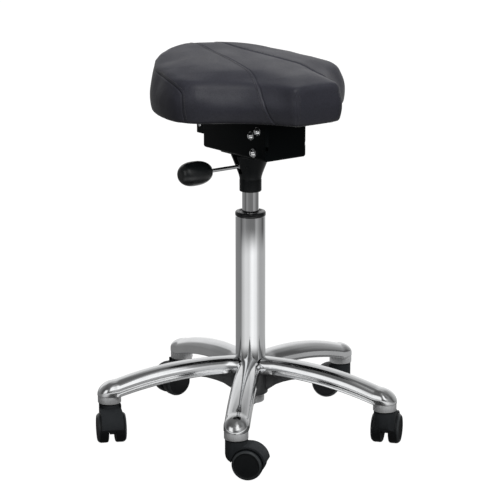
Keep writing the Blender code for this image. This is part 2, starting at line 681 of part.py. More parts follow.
def build_springs(steel, parent):
    """A pair of coil springs behind the column, between the housing's floor and the carrier."""
    wire, coil, turns, steps, sides = 1.7 * MM, 11 * MM, 4.5, 8, 5
    low = HOUSING_BOTTOM + HOUSING_WALL + wire + GAP
    high = CARRIER_TOP - CARRIER_SHEET - wire - GAP
    for sign, name in ((-1, "tilt_spring_right"), (1, "tilt_spring_left")):
        bm = bmesh.new()
        rings = []
        for i in range(int(turns * steps) + 1):
            turn = math.tau * i / steps
            # The end coils lie flat
            share = min(1.0, max(0.0, (i / steps - 0.8) / (turns - 1.6)))
            middle = Vector((coil * math.cos(turn), coil * math.sin(turn), low + (high - low) * share))
            outward = Vector((math.cos(turn), math.sin(turn), 0))
            section = [math.tau * k / sides for k in range(sides)]
            rings.append([bm.verts.new(middle + wire * (outward * math.cos(a) + up(math.sin(a)))) for a in section])
        skin(bm, rings)
        made = object_from(bm, name, steel, parent)
        made.location = (sign * 19 * MM, 44 * MM, 0)


def up(height):
    return Vector((0, 0, height))


def build_lever(steel, plastic, zinc, parent):
    """The release lever about its fulcrum pin: a round rod outside, a flat finger over the release pin."""
    rod_end = FULCRUM_X - KNOB_CENTRE_X - 8 * MM
    rod = along_x(peg(LEVER_ROD_RADIUS, -rod_end, 0))
    lever = object_from(rod, "lever_rod", steel, parent)
    join(lever, block((-8 * MM, -5 * MM, -3.4 * MM), (22.5 * MM, 5 * MM, 3.4 * MM)))
    cut(lever, moved(peg(PIVOT_PIN_RADIUS + 0.1 * MM, -20 * MM, 20 * MM), turn=math.pi / 2, axis="X"))
    pin = moved(peg(PIVOT_PIN_RADIUS, -14.5 * MM, 14.5 * MM), turn=math.pi / 2, axis="X")
    object_from(pin, "lever_pin", zinc, parent)

    half, steps = KNOB_LENGTH / 2, 10
    egg = [(0, -half)]
    for i in range(1, steps):
        angle = math.pi * i / steps
        along = -math.cos(angle)
        # Fuller towards the outer end, which is at -X
        egg.append((KNOB_RADIUS * math.sin(angle) ** 0.8 * (1 - 0.13 * along), half * along))
    egg.append((0, half))
    knob = object_from(along_x(turned(egg, ROUND)), "lever_knob", plastic, parent)
    knob.location = (KNOB_CENTRE_X - FULCRUM_X, 0, 0)
    cut(knob, along_x(peg(LEVER_ROD_RADIUS + GAP, -8 * MM - GAP, 60 * MM)))


# ---------------------------------------------------------------- seat
def seat_loop():
    """The seat's outline, clockwise from above, starting at the rear centre."""
    left = SEAT_OUTLINE
    right = [(-x, y) for x, y in reversed(left[1:-1])]
    return smooth_closed(left + right, 2)


def seat_top(x, y):
    """Height of the seat's top: it falls towards the nose and a little towards each side."""
    along = (y + 178 * MM) / (327 * MM)
    return (604.5 + 30 * along) * MM - 11 * MM * (abs(x) / (165 * MM)) ** 2


def build_seat(leather, wood, steel, parent):
    outline = seat_loop()
    bm = bmesh.new()

    def loop(points, heights):
        return [bm.verts.new((p.x, p.y, z)) for p, z in zip(points, heights)]

    def level(z):
        return [z] * len(outline)

    board_edge = inset(outline, BOARD_INSET - GAP)
    board_top = SEAT_BOTTOM + BOARD_THICKNESS + GAP
    loops = [loop(board_edge, level(board_top)), loop(board_edge, level(SEAT_BOTTOM))]
    for distance, rise in ((6, 0), (1.6, 3), (0, 9)):
        loops.append(loop(inset(outline, distance * MM), level(SEAT_BOTTOM + rise * MM)))
    edge_top = [seat_top(p.x, p.y) for p in outline]
    for distance, drop in ((0, 17), (2, 9.5), (7, 3.6), (16, 0)):
        points = inset(outline, distance * MM)
        loops.append(loop(points, [z - drop * MM for z in edge_top]))
    for scale in (0.62, 0.25):
        points = [p * scale for p in outline]
        loops.append(loop(points, [seat_top(p.x, p.y) for p in points]))
    skin(bm, loops)
    settle(object_from(bm, "seat_cushion", leather), parent)

    edge = [(p.x, p.y) for p in inset(outline, BOARD_INSET)]
    board = object_from(prism(edge, "Z", SEAT_BOTTOM, SEAT_BOTTOM + BOARD_THICKNESS), "seat_board", wood)
    for x, y in SEAT_BOLTS:
        cut(board, moved(peg(SEAT_BOLT_RADIUS + GAP, 530 * MM, 549.5 * MM, 8), (x, y, 0)))
    settle(board, parent)
    head_top = CARRIER_TOP - CARRIER_SHEET - GAP
    for i, (x, y) in enumerate(SEAT_BOLTS):
        profile = [(0, head_top - 3.5 * MM), (5.5 * MM, head_top - 3.5 * MM), (5.5 * MM, head_top)]
        profile += [(SEAT_BOLT_RADIUS, head_top), (SEAT_BOLT_RADIUS, 549 * MM), (0, 549 * MM)]
        made = object_from(turned(profile, 8), f"seat_bolt_{i + 1}", steel, parent)
        made.location = Vector((x, y, 0)) - parent.location


# ---------------------------------------------------------------- assembly
def main():
    clear_scene()
    chrome = material("chrome", (0.78, 0.79, 0.8), 0.08, 1.0)
    aluminium = material("polished_aluminium", (0.72, 0.73, 0.74), 0.16, 1.0)
    steel = material("zinc_steel", (0.62, 0.63, 0.65), 0.3, 1.0)
    black_steel = material("black_painted_steel", (0.012, 0.014, 0.016), 0.42, 0.0)
    black_plastic = material("black_plastic", (0.02, 0.022, 0.024), 0.45, 0.0)
    knob_plastic = material("knob_plastic", (0.015, 0.017, 0.018), 0.25, 0.0)
    tyre = material("caster_wheel_plastic", (0.022, 0.024, 0.026), 0.5, 0.0)
    rubber = material("rubber", (0.03, 0.03, 0.03), 0.8, 0.0)
    leather = material("black_leather", (0.032, 0.032, 0.038), 0.42, 0.0)
    wood = material("plywood", (0.45, 0.33, 0.2), 0.7, 0.0)

    build_base(aluminium)
    build_casters(black_plastic, tyre, steel)
    build_stand(chrome, black_plastic)

    column = empty("column_axis", (0, 0, 0))
    build_piston_rod(steel, rubber, column)
    build_cylinder(chrome, steel, column)
    build_cone(black_plastic, black_steel, column)
    build_housing(black_steel, column)
    build_bolts(chrome, column)
    build_springs(steel, column)

    fulcrum = empty("lever_axis", (FULCRUM_X, 0, LEVER_HEIGHT), parent=column)
    build_lever(chrome, knob_plastic, steel, fulcrum)

    tilt = empty("tilt_axis", (0, *PIVOT), parent=column)
    build_carrier(black_steel, black_plastic, steel, tilt)
    build_seat(leather, wood, steel, tilt)

    for obj in bpy.context.scene.objects:
        if obj.parent is None:
            obj.location += COLUMN_PLACE


main()
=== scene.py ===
"""Looks of the rolling stylist stool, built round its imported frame. Metres, +Z up, seat nose towards -Y."""

import json
import math
import random

import bmesh
import bpy
import numpy as np
from mathutils import Matrix, Vector
from mathutils.bvhtree import BVHTree
from mathutils.kdtree import KDTree


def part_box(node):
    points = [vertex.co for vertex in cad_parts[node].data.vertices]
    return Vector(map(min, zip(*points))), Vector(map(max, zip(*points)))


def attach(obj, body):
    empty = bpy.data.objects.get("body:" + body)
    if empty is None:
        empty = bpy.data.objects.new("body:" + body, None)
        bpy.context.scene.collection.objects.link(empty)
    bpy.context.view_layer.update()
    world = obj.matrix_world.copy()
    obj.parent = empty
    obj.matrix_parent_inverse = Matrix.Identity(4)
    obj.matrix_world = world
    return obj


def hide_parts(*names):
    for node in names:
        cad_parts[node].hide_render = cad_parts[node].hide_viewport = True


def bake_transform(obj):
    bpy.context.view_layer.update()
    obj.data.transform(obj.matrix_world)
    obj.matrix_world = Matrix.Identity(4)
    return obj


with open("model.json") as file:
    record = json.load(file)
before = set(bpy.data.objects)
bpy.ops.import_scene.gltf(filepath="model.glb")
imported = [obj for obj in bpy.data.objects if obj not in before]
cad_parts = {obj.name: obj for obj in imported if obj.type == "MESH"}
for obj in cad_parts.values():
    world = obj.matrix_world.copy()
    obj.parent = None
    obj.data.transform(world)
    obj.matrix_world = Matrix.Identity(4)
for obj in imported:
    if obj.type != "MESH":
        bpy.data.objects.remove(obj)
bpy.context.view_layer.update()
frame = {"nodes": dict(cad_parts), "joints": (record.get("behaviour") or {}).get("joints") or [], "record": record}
MM = 0.001
random.seed(7)
JOINTS = {j["name"]: j for j in frame["joints"]}
COLLECTION = bpy.context.scene.collection
# Pieces are drawn about the lift column's axis, and their objects stand on it
COLUMN = Vector((*JOINTS["seat_swivel"]["pos_m"][:2], 0.0))


def mm(pairs):
    """A table of millimetre pairs, in metres."""
    return [(a * MM, b * MM) for a, b in pairs]


def joint_place(name):
    """A joint's place, measured from the column's axis."""
    return Vector(JOINTS[name]["pos_m"]) - COLUMN


def box(node):
    """A CAD node's lowest and highest corners, measured from the column's axis."""
    low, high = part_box(node)
    return Vector(low) - COLUMN, Vector(high) - COLUMN


# ---------------------------------------------------------------- shapes
def make_object(name, bm, *materials, angle=35, smooth=True):
    bmesh.ops.recalc_face_normals(bm, faces=bm.faces)
    mesh = bpy.data.meshes.new(name)
    bm.to_mesh(mesh)
    bm.free()
    obj = bpy.data.objects.new(name, mesh)
    obj.location = COLUMN
    COLLECTION.objects.link(obj)
    for m in materials:
        mesh.materials.append(m)
    if smooth:
        mesh.shade_smooth()
        mesh.set_sharp_from_angle(angle=math.radians(angle))
    return obj


def place(obj, body, slot, *nodes):
    """Hangs a finished piece on a body, and lets it stand for the CAD nodes named."""
    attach(obj, body)
    if nodes:
        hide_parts(*nodes)
    return obj


def twin(obj, name, location=(0, 0, 0), turn=None):
    """Another piece of the same shape."""
    made = bpy.data.objects.new(name, obj.data)
    COLLECTION.objects.link(made)
    made.matrix_world = Matrix.Translation(COLUMN + Vector(location)) @ (turn or Matrix.Identity(4))
    return made


def lathe(profile, segments=96):
    """A solid turned about Z; a profile off the axis at both ends closes into a ring."""
    bm = bmesh.new()
    points = [bm.verts.new((r, 0, z)) for r, z in profile]
    pairs = list(zip(points, points[1:]))
    if profile[0][0] > 0 or profile[-1][0] > 0:
        pairs.append((points[-1], points[0]))
    edges = [bm.edges.new(pair) for pair in pairs]
    bmesh.ops.spin(
        bm, geom=points + edges, cent=(0, 0, 0), axis=(0, 0, 1), angle=math.tau,
        steps=segments, use_merge=True,
    )
    bmesh.ops.remove_doubles(bm, verts=bm.verts, dist=1e-7)
    return bm


def filleted(profile, radius, steps=4, closed=False):
    """The profile with each corner rounded, as far as its two sides allow."""
    points = [Vector(p) for p in profile]
    count = len(points)
    made = []
    for i, here in enumerate(points):
        if not closed and i in (0, count - 1):
            made.append(tuple(here))
            continue
        before, after = points[i - 1] - here, points[(i + 1) % count] - here
        if before.length < 1e-9 or after.length < 1e-9:
            continue
        half = before.angle(after) / 2
        if half > math.radians(87):
            made.append(tuple(here))
            continue
        reach = min(radius / math.tan(half), 0.48 * before.length, 0.48 * after.length)
        start, end = here + before.normalized() * reach, here + after.normalized() * reach
        for step in range(steps + 1):
            t = step / steps
            made.append(tuple(start * (1 - t) ** 2 + here * 2 * t * (1 - t) + end * t**2))
    return made


def skin(bm, rings, caps=True):
    """Faces between rings of points, with the end rings filled."""
    count = len(rings[0])
    for first, second in zip(rings, rings[1:]):
        for i in range(count):
            bm.faces.new((first[i], first[(i + 1) % count], second[(i + 1) % count], second[i]))
    if caps:
        bm.faces.new(rings[0])
        bm.faces.new(rings[-1])


def prism(outline, axis, start, end):
    """An outline pushed along an axis: (y, z) pairs along X, (x, z) along Y and (x, y) along Z."""
    slot = "XYZ".index(axis)
    bm = bmesh.new()
    skin(bm, [[bm.verts.new((*p[:slot], s, *p[slot:])) for p in outline] for s in (start, end)])
    return bm


def moved(bm, location=(0, 0, 0), turn=0.0, axis="Z"):
    bmesh.ops.rotate(bm, verts=bm.verts, matrix=Matrix.Rotation(turn, 3, axis))
    bmesh.ops.translate(bm, verts=bm.verts, vec=location)
    return bm


def arc(centre, radius, start, end, steps):
    """Points on an arc, angles in degrees."""
    angles = [math.radians(start + (end - start) * i / steps) for i in range(steps + 1)]
    return [(centre[0] + radius * math.cos(a), centre[1] + radius * math.sin(a)) for a in angles]


def peg(radius, low, high, segments=48):
    return lathe([(0, low), (radius, low), (radius, high), (0, high)], segments)


def cross_peg(radius, reach, location, segments=48):
    """A peg lying along Y, reaching as far to each side of its place."""
    return moved(peg(radius, -reach, reach, segments), location, math.pi / 2, "X")


def combine(obj, bm, operation="DIFFERENCE"):
    """Cuts, joins or intersects a shape drawn in the row frame, and keeps the result."""
    other = make_object("tool", bm, smooth=False)
    change = obj.modifiers.new("boolean", "BOOLEAN")
    change.operation = operation
    change.solver = "EXACT"
    change.object = other
    bake(obj)
    bpy.data.objects.remove(other, do_unlink=True)


def bake(obj):
    """Makes what the modifiers give the object's own mesh."""
    bpy.context.view_layer.update()
    deps = bpy.context.evaluated_depsgraph_get()
    result = bpy.data.meshes.new_from_object(obj.evaluated_get(deps), depsgraph=deps)
    obj.modifiers.clear()
    old, obj.data = obj.data, result
    bpy.data.meshes.remove(old)


def bevelled(obj, width, angle=35, segments=3):
    """Rounds the sharp edges and shades the result smooth."""
    change = obj.modifiers.new("bevel", "BEVEL")
    change.width = width
    change.segments = segments
    change.limit_method = "ANGLE"
    change.angle_limit = math.radians(angle)
    change.harden_normals = False
    bake(obj)
    obj.data.shade_smooth()
    obj.data.set_sharp_from_angle(angle=math.radians(40))
    return obj


def tube_along(bm, points, radius, sides=8):
    """Adds a round wire that follows the points."""
    rings = []
    normal = None
    for i, here in enumerate(points):
        ahead = (points[min(i + 1, len(points) - 1)] - points[max(i - 1, 0)]).normalized()
        if normal is None:
            normal = ahead.orthogonal().normalized()
        normal = (normal - ahead * normal.dot(ahead)).normalized()
        side = ahead.cross(normal)
        ring = []
        for k in range(sides):
            a = math.tau * k / sides
            ring.append(bm.verts.new(here + radius * (normal * math.cos(a) + side * math.sin(a))))
        rings.append(ring)
    skin(bm, rings)


def spline(points, per_span, closed=False):
    """A Catmull-Rom curve through the points."""
    vectors = [Vector(p) for p in points]
    count = len(vectors)
    spans = count if closed else count - 1
    made = []
    for i in range(spans):
        around = [i + k for k in (-1, 0, 1, 2)]
        around = [k % count if closed else min(max(k, 0), count - 1) for k in around]
        p0, p1, p2, p3 = (vectors[k] for k in around)
        slope, curve, twist = p2 - p0, 2 * p0 - 5 * p1 + 4 * p2 - p3, 3 * p1 - p0 - 3 * p2 + p3
        for step in range(per_span):
            t = step / per_span
            made.append(0.5 * (2 * p1 + slope * t + curve * t**2 + twist * t**3))
    if not closed:
        made.append(vectors[-1])
    return made


def ease(low, high, value):
    """A smooth step from nought at low to one at high."""
    t = min(1.0, max(0.0, (value - low) / (high - low)))
    return t * t * (3 - 2 * t)


# ---------------------------------------------------------------- materials
class Nodes:
    """Short ways to build a node tree."""

    def __init__(self, tree):
        self.tree = tree

    def add(self, kind, inputs=None, **settings):
        made = self.tree.nodes.new(kind)
        for key, value in settings.items():
            setattr(made, key, value)
        for key, value in (inputs or {}).items():
            self.feed(made.inputs[key], value)
        return made

    def feed(self, socket, value):
        if isinstance(value, bpy.types.NodeSocket):
            self.tree.links.new(value, socket)
        else:
            is_colour = socket.type == "RGBA" and isinstance(value, tuple)
            socket.default_value = (*value, 1.0) if is_colour else value

    def ranged(self, value, low, high, to_low, to_high, smooth=False):
        inputs = dict(enumerate((value, low, high, to_low, to_high)))
        kind = "SMOOTHSTEP" if smooth else "LINEAR"
        return self.add("ShaderNodeMapRange", inputs, interpolation_type=kind).outputs[0]

    def spread(self, noise, to_low, to_high):
        """A noise's usual span, stretched between two levels."""
        return self.ranged(noise, 0.3, 0.7, to_low, to_high)

    def math(self, operation, a, b=0.0):
        return self.add("ShaderNodeMath", {0: a, 1: b}, operation=operation).outputs[0]

    def dot(self, vector, fixed):
        made = self.add("ShaderNodeVectorMath", {0: vector, 1: fixed}, operation="DOT_PRODUCT")
        return made.outputs["Value"]

    def length(self, vector):
        return self.add("ShaderNodeVectorMath", {0: vector}, operation="LENGTH").outputs["Value"]

    def mix(self, factor, a, b):
        return self.add("ShaderNodeMix", {0: factor, 6: a, 7: b}, data_type="RGBA").outputs[2]

    def blend(self, factor, a, b):
        return self.add("ShaderNodeMix", {0: factor, 2: a, 3: b}, data_type="FLOAT").outputs[0]

    def ramp(self, value, stops):
        made = self.add("ShaderNodeValToRGB", {"Fac": value})
        made.color_ramp.interpolation = "EASE"
        elements = made.color_ramp.elements
        while len(elements) < len(stops):
            elements.new(0.5)
        for element, (position, level) in zip(elements, stops):
            element.position = position / 100
            element.color = (level / 100, level / 100, level / 100, 1)
        return made.outputs[0]

    def round_the_stool(self, vector):
        """Azimuth as a share of a turn: half is the camera's side, more is to its right."""
        turn = math.radians(CAMERA_AZIMUTH)
        near = self.dot(vector, (math.sin(turn), -math.cos(turn), 0))
        right = self.dot(vector, (math.cos(turn), math.sin(turn), 0))
        return self.math("ADD", self.math("DIVIDE", self.math("ARCTAN2", right, near), math.tau), 0.5)


class Look(Nodes):
    """A node material. Coordinates are the piece's own metres, so a pattern rides with its piece."""

    def __init__(self, name):
        self.material = bpy.data.materials.new(name)
        self.material.use_nodes = True
        super().__init__(self.material.node_tree)
        self.shader = self.tree.nodes["Principled BSDF"]
        self.place = self.add("ShaderNodeTexCoord").outputs["Object"]

    def noise(self, scale, detail=3.0, stretch=(1, 1, 1), roughness=0.55, distortion=0.0):
        mapped = self.add("ShaderNodeMapping", {"Vector": self.place, "Scale": stretch}).outputs[0]
        inputs = {"Vector": mapped, "Scale": scale, "Detail": detail, "Roughness": roughness}
        return self.add("ShaderNodeTexNoise", inputs | {"Distortion": distortion}).outputs["Fac"]

    def cells(self, scale):
        inputs = {"Vector": self.place, "Scale": scale}
        return self.add("ShaderNodeTexVoronoi", inputs, feature="SMOOTH_F1").outputs["Distance"]

    def waves(self, scale, distortion, **settings):
        inputs = {"Vector": self.place, "Scale": scale, "Distortion": distortion}
        return self.add("ShaderNodeTexWave", inputs, **settings).outputs["Fac"]

    def bump(self, height, depth, strength=1.0, normal=None):
        """Raises the surface by the height value times a depth in metres."""
        made = self.add("ShaderNodeBump", {"Height": height, "Distance": depth, "Strength": strength})
        if normal is not None:
            self.feed(made.inputs["Normal"], normal)
        return made.outputs[0]

    def set(self, **values):
        for key, value in values.items():
            self.feed(self.shader.inputs[key.replace("_", " ")], value)
        return self.material


def leather_look(name, dark, light):
    """Leatherette: pebble grain with painted shade in its grooves, faint creases, and a satin gloss that varies
    with handling.
    """
    look = Look(name)
    tone = look.spread(look.noise(14, 4), 0, 1)
    pebble = look.cells(780)
    crease = look.noise(420, 5, roughness=0.65, distortion=0.6)
    undulation = look.noise(38, 3)
    pores = look.ranged(look.noise(2600, 2), 0.35, 0.65, 0, 1)
    colour = look.mix(tone, dark, light)
    # Painted shade: the grain's grooves are painted darker
    colour = look.mix(look.ranged(pebble, 0.25, 0.75, 0.0, 0.35), colour, (0.008, 0.008, 0.01))
    grain = look.bump(pebble, -0.00016, 0.55)
    grain = look.bump(crease, 0.00022, 0.35, grain)
    grain = look.bump(pores, 0.00003, 0.3, grain)
    grain = look.bump(undulation, 0.0012, 0.16, grain)
    rough = look.math("ADD", look.spread(look.noise(22, 4), 0.38, 0.47), look.ranged(pebble, 0, 1, 0, 0.12))
    return look.set(Base_Color=colour, Roughness=rough, Normal=grain, Specular_IOR_Level=0.36)


def metal_look(name, colour, rough, streak, spread, scratch, dull, metallic=1.0):
    """Polished or plated metal: faint streaks along the polishing direction and slow changes of gloss."""
    look = Look(name)
    streaks = look.noise(900, 3, streak)
    clouds = look.noise(24, 4)
    gloss = look.spread(streaks, rough - spread / 2, rough + spread / 2)
    gloss = look.math("ADD", gloss, look.ranged(clouds, 0.35, 0.65, -spread / 3, spread / 2))
    return look.set(
        Base_Color=look.mix(look.spread(clouds, 0, 1), colour, tuple(c * dull for c in colour)),
        Metallic=metallic,
        Roughness=look.math("MAXIMUM", gloss, 0.015),
        Normal=look.bump(streaks, scratch),
    )


def cast_look(name):
    """Unpolished casting: sandy texture and a dull skin."""
    look = Look(name)
    sand = look.noise(1500, 5, roughness=0.7)
    clouds = look.noise(40, 4)
    return look.set(
        Base_Color=look.mix(look.spread(clouds, 0, 1), (0.17, 0.175, 0.18), (0.27, 0.275, 0.28)),
        Metallic=0.9,
        Roughness=look.spread(sand, 0.42, 0.6),
        Normal=look.bump(sand, 0.00025, 0.6),
    )


def plastic_look(name, dark, light, rough, grain_scale, grain_depth, shine=0.5, coat=0.0):
    """Moulded plastic or powder coat: fine texture, slow gloss change and a trace of dust."""
    look = Look(name)
    texture = look.noise(grain_scale, 4, roughness=0.6)
    clouds = look.noise(30, 4)
    gloss = look.spread(clouds, rough - 0.04, rough + 0.05)
    return look.set(
        Base_Color=look.mix(look.spread(clouds, 0, 1), dark, light),
        Roughness=look.math("ADD", gloss, look.spread(texture, -0.03, 0.03)),
        Normal=look.bump(texture, grain_depth, 0.7),
        Coat_Weight=coat,
        Coat_Roughness=0.12,
        Specular_IOR_Level=shine,
    )


def tread_look(name):
    """Hard nylon wheel: scuffed on the tread, smoother on the face, with a painted highlight and more gloss along
    the rim.
    """
    look = Look(name)
    scuffs = look.noise(700, 5, (1, 1, 1), 0.7, 1.2)
    clouds = look.noise(60, 3)
    worn = look.ranged(scuffs, 0.5, 0.72, 0, 1)
    colour = look.mix(worn, (0.007, 0.0085, 0.01), (0.016, 0.018, 0.02))
    flat = look.add("ShaderNodeVectorMath", {0: look.place, 1: (1, 1, 0)}, operation="MULTIPLY").outputs[0]
    reach = look.length(flat)
    inside, outside = look.ranged(reach, 0.0204, 0.0212, 0, 1), look.ranged(reach, 0.0236, 0.0244, 1, 0)
    rim_with_painted_highlight = look.math("MULTIPLY", inside, outside)
    dullness = look.math("ADD", look.spread(clouds, 0.4, 0.5), look.math("MULTIPLY", worn, 0.12))
    return look.set(
        # Painted highlight: the rim band is given a lighter colour
        Base_Color=look.mix(rim_with_painted_highlight, colour, (0.06, 0.066, 0.07)),
        Roughness=look.blend(rim_with_painted_highlight, dullness, 0.28),
        Normal=look.bump(scuffs, 0.00006, 0.6),
        Specular_IOR_Level=0.35,
    )


def plywood_look(name):
    """Birch plywood: long grain above, stacked veneers at the edge, black cloth wrapped round and beneath."""
    look = Look(name)
    grain = look.noise(60, 6, (1.0, 0.08, 1.0), 0.65, 0.8)
    fleck = look.noise(900, 2, (1.0, 0.12, 1.0))
    ply = look.waves(110.0, 0.2, bands_direction="Z")
    face = look.mix(look.spread(grain, 0, 1), (0.42, 0.28, 0.15), (0.6, 0.45, 0.28))
    layered = look.mix(look.spread(ply, 0, 0.45), face, (0.24, 0.15, 0.08))
    upward = look.dot(look.add("ShaderNodeNewGeometry").outputs["True Normal"], (0, 0, 1))
    weave = look.spread(look.noise(1800, 2), 0, 1)
    cloth = look.mix(weave, (0.006, 0.006, 0.007), (0.02, 0.02, 0.022))
    return look.set(
        Base_Color=look.mix(look.ranged(upward, 0.4, 0.6, 0, 1), cloth, layered),
        Roughness=look.spread(fleck, 0.65, 0.85),
        Normal=look.bump(look.math("ADD", look.math("ADD", grain, fleck), weave), 0.00012, 0.6),
    )


def thread_look(name):
    """Twisted sewing thread."""
    look = Look(name)
    twist = look.waves(700.0, 1.0)
    colour = look.mix(twist, (0.03, 0.03, 0.034), (0.085, 0.085, 0.092))
    return look.set(Base_Color=colour, Roughness=0.6, Normal=look.bump(twist, 0.00008), Sheen_Weight=0.3)


LEATHER = leather_look("black_leatherette", (0.031, 0.0315, 0.043), (0.043, 0.0435, 0.057))
THREAD = thread_look("charcoal_thread")
CHROME = metal_look("chrome", (0.86, 0.87, 0.88), 0.045, (1, 1, 0.05), 0.03, 0.000002, 0.97)
POLISHED = metal_look("polished_aluminium", (0.8, 0.81, 0.82), 0.12, (0.3, 0.3, 1), 0.06, 0.000012, 0.93)
SATIN = metal_look("satin_aluminium", (0.94, 0.95, 0.96), 0.36, (0.2, 0.2, 2), 0.1, 0.00003, 0.88, 0.4)
CAST = cast_look("raw_casting")
ZINC = metal_look("zinc_plate", (0.6, 0.61, 0.62), 0.28, (1, 1, 1), 0.12, 0.00001, 0.85)
# Each plastic: darker and lighter colour, roughness, grain scale and depth, shine and clear coat
PLASTICS = {
    "black_powder_coat": ((0.001, 0.0028, 0.0036), (0.0018, 0.0038, 0.0048), 0.42, 900, 0.00008, 0.08),
    "black_nylon": ((0.035, 0.039, 0.043), (0.048, 0.052, 0.056), 0.55, 1400, 0.00006, 0.14),
    "socket_plastic": ((0.009, 0.0115, 0.013), (0.012, 0.0145, 0.0165), 0.36, 1400, 0.00005, 0.2),
    "knob_plastic": ((0.01, 0.0125, 0.0135), (0.014, 0.0165, 0.018), 0.3, 1800, 0.00001, 0.5, 0.1),
    "gloss_black_plastic": ((0.005, 0.006, 0.007), (0.008, 0.0095, 0.011), 0.22, 1600, 0.00001, 0.4, 0.2),
    "black_rubber": ((0.015, 0.015, 0.015), (0.03, 0.03, 0.03), 0.75, 700, 0.00015),
}
POWDER, NYLON, SOCKET_PLASTIC, KNOB, GLOSS, RUBBER = (plastic_look(k, *v) for k, v in PLASTICS.items())
TREAD = tread_look("caster_nylon")
PLYWOOD = plywood_look("birch_plywood")

CAD_LOOKS = {
    "chrome": CHROME,
    "polished_aluminium": POLISHED,
    "zinc_steel": ZINC,
    "black_painted_steel": POWDER,
    "black_plastic": NYLON,
    "knob_plastic": KNOB,
    "caster_wheel_plastic": TREAD,
    "rubber": RUBBER,
    "black_leather": LEATHER,
    "plywood": PLYWOOD,
}
for part in frame["record"]["subparts"]:
    node = frame["nodes"][part["node"]]
    node.data.materials.clear()
    node.data.materials.append(CAD_LOOKS[part["material_slot"]])


# ---------------------------------------------------------------- base casting
ARM_COUNT = 5
SOCKETS = [joint_place(f"caster_{k + 1}_swivel") for k in range(ARM_COUNT)]
SOCKET_REACH = SOCKETS[0].xy.length
SOCKET_RADIUS = 19.3 * MM
SOCKET_BOTTOM = 62.4 * MM
SOCKET_TOP = 74.6 * MM
ARM_ROOT = 45 * MM
ARM_SHOULDER = 228 * MM
ARM_END_RADIUS = 19.9 * MM


def droop(r):
    """How far along its fall an arm is at this distance from the column."""
    return max(0.0, r - ARM_ROOT) / (195 * MM)


def arm_crest(r):
    return 128 * MM - 33 * MM * min(1.0, droop(r)) ** 2.2


def arm_underside(r):
    return 102.7 * MM - 33 * MM * droop(r) ** 2


def arm_section(r):
    """Points round an arm: a domed crown, a thin lip along both lower edges and a hollow between the lips."""
    past = max(0.0, r - ARM_SHOULDER) / (SOCKET_REACH + ARM_END_RADIUS - ARM_SHOULDER)
    top = arm_crest(r)
    bottom = max(SOCKET_TOP, arm_underside(r))
    half = min(20 * MM, 16.2 * MM + 0.038 * r) + 3 * MM * (1 - ease(26 * MM, 48 * MM, r))
    if past > 0:
        floor = SOCKET_TOP + 1.5 * MM
        top = floor + (arm_crest(ARM_SHOULDER) - floor) * max(0.0, 1 - past**2) ** 0.6
    if r > SOCKET_REACH:
        half = math.sqrt(max(1e-9, ARM_END_RADIUS**2 - (r - SOCKET_REACH) ** 2))
    spring = bottom + 0.3 * (top - bottom)
    points = []
    steps = 28
    for i in range(steps + 1):
        a = math.pi * i / steps
        x, z = math.cos(a), math.sin(a)
        points.append((r, half * math.copysign(abs(x) ** 0.92, x), spring + (top - spring) * z**0.96))
    lip = min(2.6 * MM, 0.3 * half)
    flare = 0.25 * MM * ease(40 * MM, 60 * MM, r) * (1 - ease(222 * MM, 232 * MM, r))
    hollow = 5 * MM * ease(48 * MM, 70 * MM, r) * (1 - ease(204 * MM, 216 * MM, r))
    rise = spring - bottom
    round_off = min(0.9 * MM, lip / 3, 0.12 * rise)
    left = [
        (r, -half - 0.1 * flare, bottom + 0.24 * rise),
        (r, -half - flare, bottom + 0.18 * rise),
        (r, -half - flare, bottom + round_off),
        (r, -half - flare + round_off * 0.3, bottom + round_off * 0.3),
        (r, -half - flare + round_off, bottom),
        (r, -half + lip, bottom),
        (r, -half + lip + 0.3 * MM * (hollow > 0), bottom + hollow),
    ]
    return points + left + [(r, -y, z) for r, y, z in reversed(left)]


def build_base():
    hub = mm([(0, 64), (29, 64), (29.5, 100), (29.5, 112), (27.5, 120), (0, 123.5)])
    base = make_object("star_base_casting", lathe(filleted(hub, 1.5 * MM), 96), POLISHED, SATIN, CAST)
    near = [24 + 4 * i for i in range(9)]
    far = [62 + 8.5 * i for i in range(20)]
    end = [SOCKET_REACH / MM + ARM_END_RADIUS / MM * math.sin(math.pi / 2 * t / 12) for t in range(12)]
    stations = near + [r for r in far if r < 226] + [226, 230, 234] + end + [258.8]
    rib = mm([(20, 66), (30, 70), (38, 76), (47, 82.5), (60, 88.5), (76, 94), (95, 98), (95, 106), (20, 112)])
    for socket in SOCKETS:
        turn = math.atan2(socket.y, socket.x)
        arm = bmesh.new()
        skin(arm, [[arm.verts.new(p) for p in arm_section(r * MM)] for r in stations])
        bmesh.ops.remove_doubles(arm, verts=arm.verts, dist=1e-7)
        combine(base, moved(arm, turn=turn), "UNION")
        web = prism(filleted(rib, 2 * MM, closed=True), "Y", -2.4 * MM, 2.4 * MM)
        combine(base, moved(web, turn=turn), "UNION")
        cup = [(0, SOCKET_BOTTOM), (SOCKET_RADIUS, SOCKET_BOTTOM), (SOCKET_RADIUS, SOCKET_TOP + 0.5 * MM)]
        cup += [(12 * MM, SOCKET_TOP + 1.2 * MM), (0, SOCKET_TOP + 1.2 * MM)]
        cup = moved(lathe(filleted(cup, 0.7 * MM, 3), 72), turn=0.01)
        combine(base, moved(cup, (socket.x, socket.y, 0)), "UNION")
        combine(base, moved(peg(5.8 * MM, 50 * MM, 86 * MM, 36), (socket.x, socket.y, 0)))
    combine(base, lathe(mm([(0, 40), (23.3, 40), (23.3, 47), (25.3, 123), (25.3, 150), (0, 150)]), 96))
    finish_base(base)
    return base


